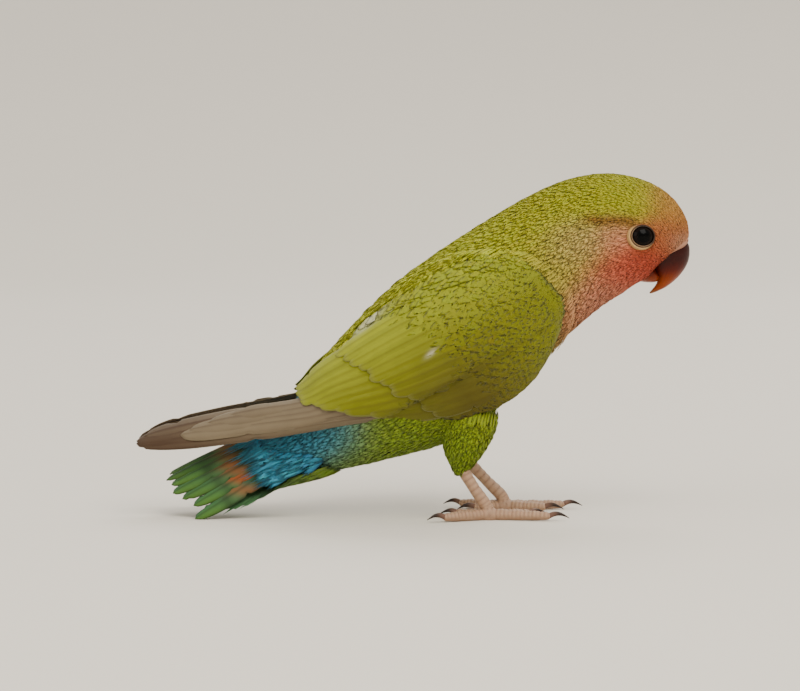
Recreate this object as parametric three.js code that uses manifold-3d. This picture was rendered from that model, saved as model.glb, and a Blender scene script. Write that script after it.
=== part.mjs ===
// A peach-faced lovebird, life size, standing with its tail laid on the floor.
// Lengths are in millimetres. X runs forward to the bill, Y to the bird's left and Z up from the floor.
import * as THREE from "three";
import Module from "manifold-3d";

const wasm = await Module();
wasm.setup();

// Driving dimensions
const GAP = 0.3; // clearance between two pieces that touch
const RIGHT = -1;
const LEFT = 1;
const BODY_SIDES = 28; // facets round the body
const RINGS_PER_SECTION = 2;
const ROUNDNESS = 2.25; // 2 is an ellipse, more is squarer
const VANE_THICK = 0.62;
const VANE_RIDGE = 0.12; // how far its shaft stands over its edges

// Side-view sections of the feathered body, from inside the tail to the face.
// Each row: back point x and z, belly point x and z, half width, and how far down its widest place lies.
const SECTIONS = [
  [-43.0, 14.6, -41.0, 10.6, 3.0, 0.5],
  [-38.0, 17.8, -33.5, 9.2, 5.2, 0.5],
  [-33.0, 20.9, -26.5, 9.4, 6.6, 0.5],
  [-29.3, 23.8, -20.0, 10.6, 7.8, 0.5],
  [-27.0, 27.4, -13.8, 11.9, 9.8, 0.5],
  [-24.5, 31.8, -6.3, 13.5, 12.5, 0.5],
  [-20.5, 37.9, 1.3, 15.4, 15.6, 0.5],
  [-14.5, 45.0, 10.0, 17.8, 18.6, 0.5],
  [-7.0, 52.6, 19.3, 22.6, 20.6, 0.5],
  [0.8, 59.7, 27.3, 29.8, 21.2, 0.5],
  [8.5, 65.4, 33.6, 36.8, 20.8, 0.52],
  [16.0, 70.4, 38.8, 42.6, 19.4, 0.54],
  [24.3, 75.6, 43.2, 46.4, 17.4, 0.55],
  [32.8, 80.4, 47.2, 49.9, 15.0, 0.55],
  [41.3, 84.0, 51.0, 52.9, 13.3, 0.55],
  [50.0, 85.6, 54.9, 55.4, 12.6, 0.54],
  [57.5, 84.9, 57.6, 57.3, 12.0, 0.54],
  [63.8, 82.6, 59.4, 58.4, 11.1, 0.54],
  [68.4, 79.0, 60.4, 58.9, 9.8, 0.54],
  [71.2, 74.6, 61.0, 59.6, 8.0, 0.53],
  [72.0, 70.6, 61.5, 61.0, 6.2, 0.52],
  [71.7, 68.3, 62.2, 63.0, 4.7, 0.5],
];
const FACE_END = SECTIONS.length - 1;
const TAIL_CUT = 3.5; // where the tail meets the torso, counted in sections
const NECK_CUT = 12.0;
const HEAD_CUT = 14.3;
const CUT_HALF_GAP = 0.028; // of a section, about 0.15 mm

// Ribs of the folded wing from its bend to its tip. Each row: upper edge x and z, middle x and z,
// lower edge x and z, then how far out those three lie where the body is out of reach.
const RIBS = [
  [39.3, 58.0, 41.0, 52.8, 39.0, 46.0, 13.0, 14.0, 13.0],
  [33.0, 63.5, 38.0, 52.8, 36.3, 40.5, 15.0, 17.0, 15.0],
  [25.0, 65.3, 31.3, 50.3, 31.3, 33.8, 15.0, 20.0, 16.0],
  [15.5, 63.5, 22.5, 46.5, 23.8, 29.0, 14.0, 21.0, 17.0],
  [6.3, 58.5, 13.0, 42.8, 15.5, 26.5, 12.0, 21.0, 17.0],
  [-3.0, 52.5, 3.8, 38.5, 7.5, 25.5, 9.5, 20.0, 17.0],
  [-12.0, 45.0, -5.5, 34.5, -1.0, 25.3, 8.0, 18.0, 16.0],
  [-19.5, 38.3, -14.5, 31.5, -10.5, 24.3, 6.0, 15.5, 15.5],
  [-25.5, 32.6, -23.0, 28.0, -21.0, 23.0, 4.6, 13.0, 14.5],
  [-34.5, 30.3, -33.0, 26.0, -31.5, 21.5, 3.6, 10.3, 12.8],
  [-43.8, 28.3, -42.5, 24.3, -41.5, 20.2, 3.1, 8.6, 11.3],
  [-53.0, 25.8, -52.3, 22.3, -51.5, 18.8, 2.9, 7.2, 9.6],
  [-60.5, 23.3, -60.0, 20.8, -59.5, 18.2, 3.0, 6.2, 8.2],
  [-65.8, 20.6, -66.0, 19.5, -65.6, 18.4, 4.0, 5.4, 6.8],
];
const WING_PAD = 2.6; // how far the folded wing stands off the flank at its middle
const WING_EDGE = 1.25; // and at its edges
const WING_CLEAR = 0.8; // between its inner face and the flank
const WING_THICK = 2.4;

// Kinds of vane. Each row of an outline is a share of the length and a share of the half width there.
const PRIMARY = { shaft: true, outline: [[0, 0.6], [0.38, 1], [0.74, 0.88], [0.94, 0.5], [1, 0.15]] };
const TAIL_VANE = { shaft: true, outline: [[0, 0.6], [0.55, 1], [0.9, 0.8], [1, 0.3]] };
const COVERT = { shaft: false, outline: [[0, 0.8], [0.62, 1], [0.88, 0.84], [1, 0.42]] };

// Primaries from the outermost inwards: root and tip as [rib, share down from upper to lower edge].
const PRIMARIES = [
  { root: [5.8, 0.93], tip: [12.75, 0.82], half: 2.6 },
  { root: [6.0, 0.84], tip: [13.0, 0.52], half: 2.9 },
  { root: [6.1, 0.72], tip: [12.4, 0.34], half: 3.2 },
  { root: [6.2, 0.6], tip: [11.25, 0.55], half: 3.8 },
  { root: [6.35, 0.44], tip: [10.4, 0.32], half: 3.6 },
  { root: [6.5, 0.28], tip: [9.4, 0.18], half: 3.2 },
];
const PRIMARY_LOWEST = -1; // the outermost lies this far under the wing's outer face
const PRIMARY_STEP = 0.36; // and each vane this much over the next one out

// The wing's other tiers, which are secondaries, greater and median coverts: how many vanes each has from the
// lower edge to the back, the rib that the tips reach at the back, how far and how sharply that drops to the
// lower edge, their length in ribs, half width and lift.
const WING_TIERS = [
  { count: 6, reach: 8.1, drop: 2, bend: 3.4, length: 2.6, half: 3.5, lift: 0.35, step: 0.3 },
  { count: 6, reach: 5.7, drop: 1.3, bend: 2, length: 1.4, half: 3.5, lift: 0.6, step: 0.15 },
  { count: 5, reach: 4.1, drop: 1, bend: 2, length: 1.1, half: 3.9, lift: 0.6, step: 0.15 },
];
const SCAPULARS = { count: 2, first: 4.6, every: 1.6, half: 2.9, lift: 1 };

// The fanned tail as three lines from root to tips: left edge, ridge and right edge, each x, y and z.
const TAIL_LINES = [
  [-22.0, 8.2, 20.8, -25.0, 0.5, 24.0, -20.5, -7.6, 12.6],
  [-33.0, 10.6, 17.0, -34.5, 0.6, 20.2, -31.5, -9.6, 7.6],
  [-43.5, 12.6, 12.2, -45.0, 0.7, 15.2, -42.0, -11.0, 2.4],
  [-54.5, 14.2, 6.8, -57.5, 0.8, 9.0, -52.5, -12.2, -2.9],
];

// The same for the underside of the tail's fleshy root, which the undertail coverts lie on.
const UNDERTAIL_LINES = [
  [-20.0, 7.6, 13.6, -17.0, 0.0, 10.8, -20.0, -7.6, 12.4],
  [-28.5, 8.0, 13.6, -27.0, 0.0, 8.8, -28.0, -7.6, 9.6],
  [-38.0, 9.2, 12.8, -37.0, 0.2, 9.4, -36.0, -8.6, 5.0],
  [-47.5, 11.0, 9.6, -47.0, 0.4, 12.0, -44.5, -10.2, 1.2],
];

// Tiers of the tail: the tail feathers, two rows of coverts over them and two under. Places are shares of the
// fan's length and half width, lifts are those of root and tip, and the outermost tip stays back by shorter
// and lies lower by fall.
const TAIL_TIERS = [
  { count: 12, from: 0.2, to: 1, shorter: 0.13, spread: 0.88, half: 2.4, lifts: [-0.3, 0.9], fall: 1.9 },
  { count: 6, from: 0.1, to: 0.58, shorter: 0.1, spread: 0.78, half: 2.9, lifts: [0.5, 1.7], fall: 0.8 },
  { count: 5, from: -0.04, to: 0.3, shorter: 0.06, spread: 0.76, half: 2.9, lifts: [1.3, 2.5], fall: 0.8 },
];
const UNDERTAIL_TIERS = [
  { count: 4, from: 0.3, to: 1, shorter: 0.1, spread: 0.74, half: 2.9, lifts: [-0.4, 0.3], fall: 0 },
  { count: 3, from: 0.02, to: 0.6, shorter: 0.1, spread: 0.6, half: 3.1, lifts: [-0.2, 0.9], fall: 0 },
];
const ROOT_SPREAD = 0.84; // of a tail vane's root against its tip, across the fan

// Bill. Rows: upper line x and z, lower line x and z, half width, widest place.
const UPPER_BILL = [
  [66.5, 70.0, 58.5, 65.6, 4.0, 0.5],
  [69.3, 69.6, 60.4, 64.8, 4.6, 0.55],
  [71.8, 68.3, 62.2, 63.6, 4.7, 0.6],
  [72.3, 65.6, 63.1, 62.0, 4.3, 0.6],
  [71.6, 62.8, 63.8, 60.6, 3.6, 0.6],
  [69.6, 59.9, 64.3, 59.2, 2.7, 0.6],
  [66.8, 57.5, 63.9, 57.9, 1.7, 0.55],
  [64.3, 56.2, 63.0, 56.7, 0.8, 0.5],
  [62.5, 55.55, 62.2, 55.8, 0.15, 0.5],
];
const LOWER_BILL = [
  [57.0, 64.2, 57.2, 59.4, 3.2, 0.5],
  [60.5, 63.9, 60.3, 58.6, 3.9, 0.5],
  [62.4, 63.2, 62.4, 58.4, 3.7, 0.5],
  [63.6, 61.9, 64.0, 58.6, 3.0, 0.5],
  [64.2, 60.6, 64.8, 59.3, 1.8, 0.5],
];
const NOSTRIL = { x: 70.8, z: 66.7, out: 3.0, radius: 0.6 };

const EYE = { x: 60.3, z: 70.0, radius: 3.5, sink: 2.4 };
const LID = { inner: 2.9, outer: 3.85, rise: 0.42 };

// Legs. The left foot stands a little ahead of the right one.
const EYE_SIDES = 14; // of the eyeball and of the lids round it
const LEFT_AHEAD = 4.5;
const THIGH = [
  { at: [18.0, 9.6, 29.0], radius: 7.6 },
  { at: [16.6, 9.7, 22.0], radius: 6.7 },
  { at: [15.6, 9.8, 16.8], radius: 4.9 },
  { at: [15.0, 9.9, 13.2], radius: 2.6 },
];
const SHANK = [
  { at: [15.0, 9.9, 15.0], radius: 1.9 },
  { at: [15.6, 9.9, 12.4], radius: 1.55 },
  { at: [18.2, 9.9, 8.0], radius: 1.4 },
  { at: [21.0, 9.9, 3.9], radius: 1.6 },
  { at: [22.0, 9.9, 2.2], radius: 1.5 },
];
// Toes in the order inner hind, inner front, outer front, outer hind: length, turn from straight ahead
// (outwards is positive) and number of joints.
const TOES = [
  { length: 8.6, turn: -157, joints: 2 },
  { length: 10.8, turn: -16, joints: 3 },
  { length: 15.6, turn: 11, joints: 4 },
  { length: 12.8, turn: 152, joints: 4 },
];
const FOOT_BALL = 2.0; // radius where the toes meet
const TOE_RADIUS = 1.35;
const TOE_HEIGHT = 1.2; // of a toe's centreline, so that its sole is a small flat
const CLAW = { length: 4.4, radius: 0.72, rise: 1.35 };

// Small tools

const v3 = (x, y, z) => new THREE.Vector3(x, y, z);
const mix = (a, b, f) => a + (b - a) * f;
const clamp01 = (x) => Math.min(1, Math.max(0, x));
const ease = (x) => clamp01(x) ** 2 * (3 - 2 * clamp01(x));

// A row of numbers between the rows of a table, on a smooth curve, and straight on past its ends.
function between(table, place) {
  const last = table.length - 1;
  const i = Math.min(Math.max(Math.floor(place), 0), last - 1);
  const f = clamp01(place - i);
  const past = place - i - f;
  const row = (k) => table[Math.min(Math.max(k, 0), last)];
  return table[i].map((_, k) => {
    const [a, b, c, d] = [row(i - 1)[k], row(i)[k], row(i + 1)[k], row(i + 2)[k]];
    const curved = b + 0.5 * f * (c - a + f * (2 * a - 5 * b + 4 * c - d + f * (3 * (b - c) + d - a)));
    return curved + past * (c - b);
  });
}

// A closed solid from points and triangles, turned to face outwards.
function solidOf(points, faces) {
  let volume = 0;
  for (const [a, b, c] of faces) {
    volume += points[a].dot(new THREE.Vector3().crossVectors(points[b], points[c]));
  }
  const turned = volume < 0 ? faces.map(([a, b, c]) => [a, c, b]) : faces;
  return new wasm.Manifold(
    new wasm.Mesh({
      numProp: 3,
      vertProperties: new Float32Array(points.flatMap((p) => p.toArray())),
      triVerts: new Uint32Array(turned.flat()),
    }),
  );
}

// A closed tube of rings, with a flat or pointed cap at each end.
function tube(rings) {
  const sides = rings[0].length;
  const points = rings.flat();
  const faces = [];
  for (let r = 0; r + 1 < rings.length; r += 1) {
    for (let k = 0; k < sides; k += 1) {
      const [a, b] = [r * sides + k, r * sides + ((k + 1) % sides)];
      faces.push([a, b, a + sides], [b, b + sides, a + sides]);
    }
  }
  for (const r of [0, rings.length - 1]) {
    const middle = rings[r].reduce((sum, p) => sum.add(p), v3(0, 0, 0)).divideScalar(sides);
    points.push(middle);
    for (let k = 0; k < sides; k += 1) {
      const [a, b] = [r * sides + k, r * sides + ((k + 1) % sides)];
      faces.push(r === 0 ? [b, a, points.length - 1] : [a, b, points.length - 1]);
    }
  }
  return solidOf(points, faces);
}

// A closed sheet between two grids of points, split into triangles alike on both faces.
function sheetBetween(upper, lower) {
  const [rows, columns] = [upper.length, upper[0].length];
  const points = [...upper.flat(), ...lower.flat()];
  const half = rows * columns;
  const faces = [];
  for (let r = 0; r + 1 < rows; r += 1) {
    for (let c = 0; c + 1 < columns; c += 1) {
      const a = r * columns + c;
      const [b, d, e] = [a + 1, a + columns, a + columns + 1];
      faces.push([a, b, d], [b, e, d]);
      faces.push([a + half, d + half, b + half], [b + half, d + half, e + half]);
    }
  }
  const rim = [];
  for (let c = 0; c < columns; c += 1) rim.push(c);
  for (let r = 1; r < rows; r += 1) rim.push(r * columns + columns - 1);
  for (let c = columns - 2; c >= 0; c -= 1) rim.push((rows - 1) * columns + c);
  for (let r = rows - 2; r > 0; r -= 1) rim.push(r * columns);
  rim.forEach((a, i) => {
    const b = rim[(i + 1) % rim.length];
    faces.push([b, a, a + half], [b, a + half, b + half]);
  });
  return solidOf(points, faces);
}

// The solid of a three.js geometry placed by a matrix.
function solidFrom(geometry, matrix) {
  const flat = (geometry.index ? geometry.toNonIndexed() : geometry).applyMatrix4(matrix);
  const place = flat.getAttribute("position");
  const points = [];
  const seen = new Map();
  const corner = (i) => {
    const p = new THREE.Vector3().fromBufferAttribute(place, i);
    const key = p.toArray().map((x) => Math.round(x * 1e4)).join();
    if (!seen.has(key)) {
      seen.set(key, points.length);
      points.push(p);
    }
    return seen.get(key);
  };
  const faces = [];
  for (let i = 0; i < place.count; i += 3) {
    const face = [corner(i), corner(i + 1), corner(i + 2)];
    if (new Set(face).size === 3) faces.push(face);
  }
  return solidOf(points, faces);
}

const fuse = (solids) => wasm.Manifold.union(solids);
const largest = (solid) => solid.decompose().sort((a, b) => b.volume() - a.volume())[0];

// Body

// A ring of points: an egg-shaped section between an upper and a lower point, grown outwards by grow.
function eggRing([topX, topZ, lowX, lowZ, half, widest], sides, grow = 0) {
  const tall = Math.hypot(lowX - topX, lowZ - topZ);
  const power = Math.log(widest) / Math.log(0.5);
  const ring = [];
  for (let k = 0; k < sides; k += 1) {
    const turn = (k / sides) * 2 * Math.PI;
    const down = ((1 - Math.cos(turn)) / 2) ** power;
    const along = (down * (tall + 2 * grow) - grow) / tall;
    const out = Math.sign(Math.sin(turn)) * Math.abs(Math.sin(turn)) ** (2 / ROUNDNESS) * (half + grow);
    ring.push(v3(mix(topX, lowX, along), -out, mix(topZ, lowZ, along)));
  }
  return ring;
}

function eggTube(table, from, to, count, sides, grow = 0) {
  const rings = [];
  for (let i = 0; i <= count; i += 1) {
    rings.push(eggRing(between(table, mix(from, to, i / count)), sides, grow));
  }
  return tube(rings);
}

function bodyPart(from, to, grow = 0) {
  const count = Math.max(3, Math.round((to - from) * RINGS_PER_SECTION));
  return eggTube(SECTIONS, from, to, count, BODY_SIDES, grow);
}

// How far out the body's side lies at a point of the side view, or 0 off the body.
function flankAt(x, z, grow = 0) {
  const side = (place) => {
    const [tx, tz, lx, lz] = between(SECTIONS, place);
    return (lx - tx) * (z - tz) - (lz - tz) * (x - tx);
  };
  let [low, high] = [0, FACE_END];
  if (side(low) < 0 || side(high) > 0) return 0;
  for (let i = 0; i < 24; i += 1) {
    const middle = (low + high) / 2;
    if (side(middle) > 0) low = middle;
    else high = middle;
  }
  const [tx, tz, lx, lz, half, widest] = between(SECTIONS, low);
  const tall = Math.hypot(lx - tx, lz - tz);
  const below = ((x - tx) * (lx - tx) + (z - tz) * (lz - tz)) / tall;
  const down = (below + grow) / (tall + 2 * grow);
  if (down <= 0 || down >= 1) return 0;
  const level = 1 - 2 * down ** (Math.log(0.5) / Math.log(widest));
  return (half + grow) * Math.sqrt(1 - level * level) ** (2 / ROUNDNESS);
}

// Feathers

// The tangents and the normal of a sheet of points at a place, found by small steps.
function frameAt(sheet, u, v, outward) {
  const step = 0.02;
  const here = sheet(u, v);
  const du = sheet(u + step, v).sub(sheet(u - step, v)).divideScalar(2 * step);
  const dv = sheet(u, v + step).sub(sheet(u, v - step)).divideScalar(2 * step);
  const normal = new THREE.Vector3().crossVectors(du, dv).normalize();
  if (normal.dot(outward(u, v)) < 0) normal.negate();
  return { here, du, dv, normal };
}

// A closed vane laid on a sheet from root to tip. The lifts are its heights over the sheet at both ends.
function vane(sheet, outward, { root, tip, half, rootLift, tipLift, kind }) {
  const upper = [];
  const lower = [];
  for (const [f, share] of kind.outline) {
    const [u, v] = [mix(root[0], tip[0], f), mix(root[1], tip[1], f)];
    const { du, dv, normal } = frameAt(sheet, u, v, outward);
    const forward = du.clone().multiplyScalar(tip[0] - root[0]).addScaledVector(dv, tip[1] - root[1]);
    const across = new THREE.Vector3().crossVectors(normal, forward).normalize();
    const [uu, uv, vv] = [du.dot(du), du.dot(dv), dv.dot(dv)];
    const [au, av] = [across.dot(du), across.dot(dv)];
    const det = uu * vv - uv * uv;
    const slide = [(au * vv - av * uv) / det, (av * uu - au * uv) / det];
    const lift = mix(rootLift, tipLift, Math.min(1, f * 1.25));
    const shape = (kind.shaft ? [-1, 0, 1] : [-1, 1]).map((side) => {
      const reach = side * half * share;
      const at = sheet(u + reach * slide[0], v + reach * slide[1]);
      return at.addScaledVector(normal, lift + (side === 0 ? VANE_RIDGE : 0));
    });
    const thin = VANE_THICK * mix(1, 0.6, ease((f - 0.7) / 0.3));
    upper.push(shape.map((p) => p.clone().addScaledVector(normal, thin / 2)));
    lower.push(shape.map((p) => p.clone().addScaledVector(normal, -thin / 2)));
  }
  return sheetBetween(upper, lower);
}

// Wing

function wingPlace(rib, down) {
  const [ax, az, mx, mz, bx, bz, ay, my, by] = between(RIBS, rib);
  const [a, m, b] = [(1 - down) * (1 - 2 * down), 4 * down * (1 - down), down * (2 * down - 1)];
  return { x: a * ax + m * mx + b * bx, z: a * az + m * mz + b * bz, free: a * ay + m * my + b * by };
}

// The folded wing's outer face, which lies on the flank and runs on past it over the tail.
function wingSheet(side) {
  return (rib, down) => {
    const { x, z, free } = wingPlace(rib, down);
    const pad = mix(WING_EDGE, WING_PAD, Math.sin(Math.PI * clamp01(down)) ** 0.7 * ease(rib / 1.4));
    const onBody = flankAt(x, z, pad);
    const soft = 1.5;
    const blend = clamp01(0.5 + (onBody - free) / (2 * soft));
    const out = mix(free, onBody, blend) + soft * blend * (1 - blend);
    return v3(x, side * out, z);
  };
}

// The arm and hand under the small coverts, with its inner face clear of the flank.
function wingCore(sheet, side) {
  const grid = (inner) => {
    const rows = [];
    for (let r = 0; r <= 13; r += 1) {
      const row = [];
      for (let c = 0; c <= 6; c += 1) {
        const down = mix(0.02, 0.98, c / 6);
        const p = sheet(mix(0, 7.4 - 1.3 * down ** 2, r / 13), down);
        const clear = Math.max(flankAt(p.x, p.z, WING_CLEAR), Math.abs(p.y) - WING_THICK);
        if (inner) p.y = side * Math.min(clear, Math.abs(p.y) - VANE_THICK);
        row.push(p);
      }
      rows.push(row);
    }
    return rows;
  };
  return sheetBetween(grid(false), grid(true));
}

function wing(side, body) {
  const sheet = wingSheet(side);
  const outward = () => v3(0, side, 0.35);
  const pieces = [wingCore(sheet, side)];
  PRIMARIES.forEach(({ root, tip, half }, i) => {
    const tipLift = PRIMARY_LOWEST + i * PRIMARY_STEP;
    pieces.push(vane(sheet, outward, { root, tip, half, rootLift: -1, tipLift, kind: PRIMARY }));
  });
  for (const { count, reach, drop, bend, length, half, lift, step } of WING_TIERS) {
    for (let i = 0; i < count; i += 1) {
      const down = mix(0.87, 0.1, i / (count - 1));
      const tip = [reach - drop * down ** bend, down];
      const root = [tip[0] - length, mix(0.5, down, 0.85)];
      const tipLift = lift + i * step;
      pieces.push(vane(sheet, outward, { root, tip, half, rootLift: -0.8, tipLift, kind: COVERT }));
    }
  }
  for (let i = 0; i < SCAPULARS.count; i += 1) {
    const tip = [SCAPULARS.first + i * SCAPULARS.every, 0.11];
    const root = [tip[0] - 1.8, 0.15];
    const { half, lift } = SCAPULARS;
    pieces.push(vane(sheet, outward, { root, tip, half, rootLift: -0.6, tipLift: lift, kind: COVERT }));
  }
  return largest(fuse(pieces).subtract(fuse([body, thigh(side, GAP)])));
}

// Tail

function tailSheet(lines, along, across) {
  const [lx, ly, lz, cx, cy, cz, rx, ry, rz] = between(lines, along * (lines.length - 1));
  const [l, c, r] = [(1 - across) * (1 - 2 * across), 4 * across * (1 - across), across * (2 * across - 1)];
  return v3(l * lx + c * cx + r * rx, l * ly + c * cy + r * ry, l * lz + c * cz + r * rz);
}

// A row of vanes across the fan, the middle ones lying over the outer ones. Up is 1 above it and -1 below.
function fanTier({ count, from, to, shorter, spread, half, lifts, fall }, lines, up, kind) {
  const sheet = (along, across) => tailSheet(lines, along, across);
  const outward = () => v3(0.3, 0, 1).multiplyScalar(up);
  const vanes = [];
  for (let i = 0; i < count; i += 1) {
    const side = (2 * i + 1 - count) / (count - 1);
    vanes.push(
      vane(sheet, outward, {
        root: [from, 0.5 + 0.5 * spread * ROOT_SPREAD * side],
        tip: [to - shorter * Math.abs(side) ** 1.6, 0.5 + 0.5 * spread * side],
        half,
        rootLift: lifts[0],
        tipLift: lifts[1] - fall * Math.abs(side),
        kind,
      }),
    );
  }
  return vanes;
}

function tail(torsoGrown, floor) {
  const stump = eggTube(SECTIONS, 0, TAIL_CUT + 0.6, 4, 14);
  const over = TAIL_TIERS.flatMap((tier, i) => fanTier(tier, TAIL_LINES, 1, i ? COVERT : TAIL_VANE));
  const under = UNDERTAIL_TIERS.flatMap((tier) => fanTier(tier, UNDERTAIL_LINES, -1, COVERT));
  return largest(fuse([stump, ...over, ...under]).subtract(torsoGrown).subtract(floor));
}

// Head

// Moves things made round Z to the eye, with Z pointing out of the head.
function eyeMatrix(side) {
  const out = v3(0.16, side, 0.06).normalize();
  const turn = new THREE.Quaternion().setFromUnitVectors(v3(0, 0, 1), out);
  const surface = v3(EYE.x, side * flankAt(EYE.x, EYE.z), EYE.z);
  return new THREE.Matrix4().compose(surface, turn, v3(1, 1, 1));
}

function eyeball(side, radius) {
  const matrix = eyeMatrix(side).multiply(new THREE.Matrix4().makeTranslation(0, 0, -EYE.sink));
  return solidFrom(new THREE.SphereGeometry(radius, EYE_SIDES, EYE_SIDES / 2), matrix);
}

// The ring of bare skin round the eye, with the lids' edge on its inner side.
function lidRing(side) {
  const profile = [
    [LID.inner - 0.2, -1.6],
    [LID.outer + 0.1, -1.6],
    [LID.outer, LID.rise * 0.2],
    [(LID.inner + LID.outer) / 2, LID.rise],
    [LID.inner, LID.rise * 0.9],
    [LID.inner - 0.2, -1.6],
  ].map(([r, h]) => new THREE.Vector2(r, h));
  const matrix = eyeMatrix(side).multiply(new THREE.Matrix4().makeRotationX(Math.PI / 2));
  return solidFrom(new THREE.LatheGeometry(profile, EYE_SIDES), matrix);
}

function upperBill(grow = 0) {
  const horn = eggTube(UPPER_BILL, 0, UPPER_BILL.length - 1, 13, 14, grow);
  if (grow) return horn;
  const nostrils = [LEFT, RIGHT].map((side) =>
    solidFrom(
      new THREE.IcosahedronGeometry(NOSTRIL.radius, 1),
      new THREE.Matrix4().makeTranslation(NOSTRIL.x, side * NOSTRIL.out, NOSTRIL.z),
    ),
  );
  return largest(horn.subtract(fuse(nostrils)));
}

function lowerBill(grow = 0) {
  const scoop = eggTube(LOWER_BILL, 0, LOWER_BILL.length - 1, 7, 14, grow);
  return grow ? scoop : largest(scoop.subtract(upperBill(GAP)));
}

function head() {
  const sides = [LEFT, RIGHT];
  const lids = sides.map((side) => lidRing(side));
  const sockets = sides.map((side) => eyeball(side, EYE.radius + GAP));
  const feathered = bodyPart(HEAD_CUT + CUT_HALF_GAP, FACE_END);
  return largest(fuse([feathered, ...lids]).subtract(fuse([...sockets, upperBill(GAP), lowerBill(GAP)])));
}

// Legs

// A round tube along a list of places and radii.
function limb(joints, side, ahead, sides, steps) {
  const table = joints.map(({ at, radius }) => [...at, radius]);
  const rings = [];
  const count = (joints.length - 1) * steps;
  for (let i = 0; i <= count; i += 1) {
    const place = (i / count) * (joints.length - 1);
    const [x, y, z, radius] = between(table, place);
    const [bx, by, bz] = between(table, place - 0.1);
    const [cx, cy, cz] = between(table, place + 0.1);
    const way = v3(cx - bx, cy - by, cz - bz).normalize();
    const flat = new THREE.Vector3().crossVectors(way, v3(0, 1, 0)).normalize();
    const wide = new THREE.Vector3().crossVectors(way, flat);
    const ring = [];
    for (let k = 0; k < sides; k += 1) {
      const turn = ((k + 0.5) / sides) * 2 * Math.PI;
      const p = v3(x + ahead * clamp01(1.3 - z / 14), y, z);
      p.addScaledVector(flat, Math.cos(turn) * radius).addScaledVector(wide, Math.sin(turn) * radius);
      p.y *= side;
      ring.push(p);
    }
    rings.push(ring);
  }
  return tube(rings);
}

const aheadOf = (side) => (side === LEFT ? LEFT_AHEAD : 0);

function footCentre(side) {
  const [x, y] = SHANK[SHANK.length - 1].at;
  return v3(x + aheadOf(side), side * y, TOE_HEIGHT);
}

function toeWay(side, { turn }) {
  const angle = (turn * Math.PI) / 180;
  return v3(Math.cos(angle), side * Math.sin(angle), 0);
}

// A toe with a swelling at each joint.
function toe(side, spec) {
  const from = footCentre(side);
  const way = toeWay(side, spec);
  const wide = new THREE.Vector3().crossVectors(v3(0, 0, 1), way);
  const rings = [];
  const count = spec.joints * 2;
  for (let i = 0; i <= count; i += 1) {
    const f = i / count;
    const swell = 1 + 0.09 * Math.cos(f * spec.joints * 2 * Math.PI);
    const radius = TOE_RADIUS * swell * mix(1.08, 0.82, f) * (i === count ? 0.6 : 1);
    const ring = [];
    for (let k = 0; k < 8; k += 1) {
      const turn = ((k + 0.5) / 8) * 2 * Math.PI;
      const p = from.clone().addScaledVector(way, mix(-0.6, spec.length, f));
      p.addScaledVector(wide, Math.cos(turn) * radius);
      p.z += Math.sin(turn) * radius * 1.05;
      ring.push(p);
    }
    rings.push(ring);
  }
  return tube(rings);
}

function foot(side) {
  const ball = solidFrom(
    new THREE.SphereGeometry(FOOT_BALL, 10, 7),
    new THREE.Matrix4().makeTranslation(...footCentre(side).toArray()).scale(v3(1.1, 1, 0.85)),
  );
  const toes = TOES.map((spec) => toe(side, spec));
  return largest(fuse([ball, ...toes]).subtract(fuse([shank(side, GAP), floor])));
}

// A curved claw that starts in front of its toe and comes down near the floor.
function claw(side, spec) {
  const way = toeWay(side, spec);
  const wide = new THREE.Vector3().crossVectors(v3(0, 0, 1), way);
  const start = footCentre(side).addScaledVector(way, spec.length + GAP);
  const rings = [];
  for (let i = 0; i <= 3; i += 1) {
    const f = i / 3;
    const height = TOE_HEIGHT + CLAW.rise * Math.sin(Math.PI * 0.9 * f) * (1 - 0.4 * f) - 0.62 * f * f;
    const radius = CLAW.radius * mix(1, 0.2, f ** 1.3);
    const ring = [];
    for (let k = 0; k < 6; k += 1) {
      const turn = ((k + 0.5) / 6) * 2 * Math.PI;
      const p = start.clone().addScaledVector(way, CLAW.length * f);
      p.addScaledVector(wide, Math.cos(turn) * radius * 0.8);
      p.z = height + Math.sin(turn) * radius;
      ring.push(p);
    }
    rings.push(ring);
  }
  return tube(rings);
}

const fatter = (joints, grow) => joints.map(({ at, radius }) => ({ at, radius: radius + grow }));

function thigh(side, grow = 0) {
  return limb(fatter(THIGH, grow), side, aheadOf(side), 12, 2);
}

function shank(side, grow = 0) {
  return limb(fatter(SHANK, grow), side, aheadOf(side), 8, 2);
}

// Assembly

const COLOURS = {
  green: [0x9aa62b, 0.75],
  wing: [0x8d8f2a, 0.7],
  tail: [0x3f8f9a, 0.7],
  face: [0xc98a62, 0.75],
  bill: [0xa8431a, 0.35],
  eye: [0x0c0806, 0.08],
  skin: [0xc7a08a, 0.6],
  claw: [0x3a2a22, 0.4],
};

function meshOf(name, solid, look) {
  const { numProp, vertProperties, triVerts } = solid.getMesh();
  const place = new Float32Array((vertProperties.length / numProp) * 3);
  for (let i = 0; i < place.length / 3; i += 1) {
    place.set(vertProperties.subarray(i * numProp, i * numProp + 3), i * 3);
  }
  const geometry = new THREE.BufferGeometry();
  geometry.setAttribute("position", new THREE.BufferAttribute(place, 3));
  geometry.setIndex(new THREE.BufferAttribute(new Uint32Array(triVerts), 1));
  const [color, roughness] = COLOURS[look];
  const mesh = new THREE.Mesh(geometry, new THREE.MeshStandardMaterial({ color, roughness, metalness: 0 }));
  mesh.name = name;
  return mesh;
}

const floor = solidFrom(new THREE.BoxGeometry(300, 200, 20), new THREE.Matrix4().makeTranslation(0, 0, -10));
const bodyGrown = bodyPart(TAIL_CUT, FACE_END, GAP);
const torso = bodyPart(TAIL_CUT + CUT_HALF_GAP, NECK_CUT - CUT_HALF_GAP);

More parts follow.
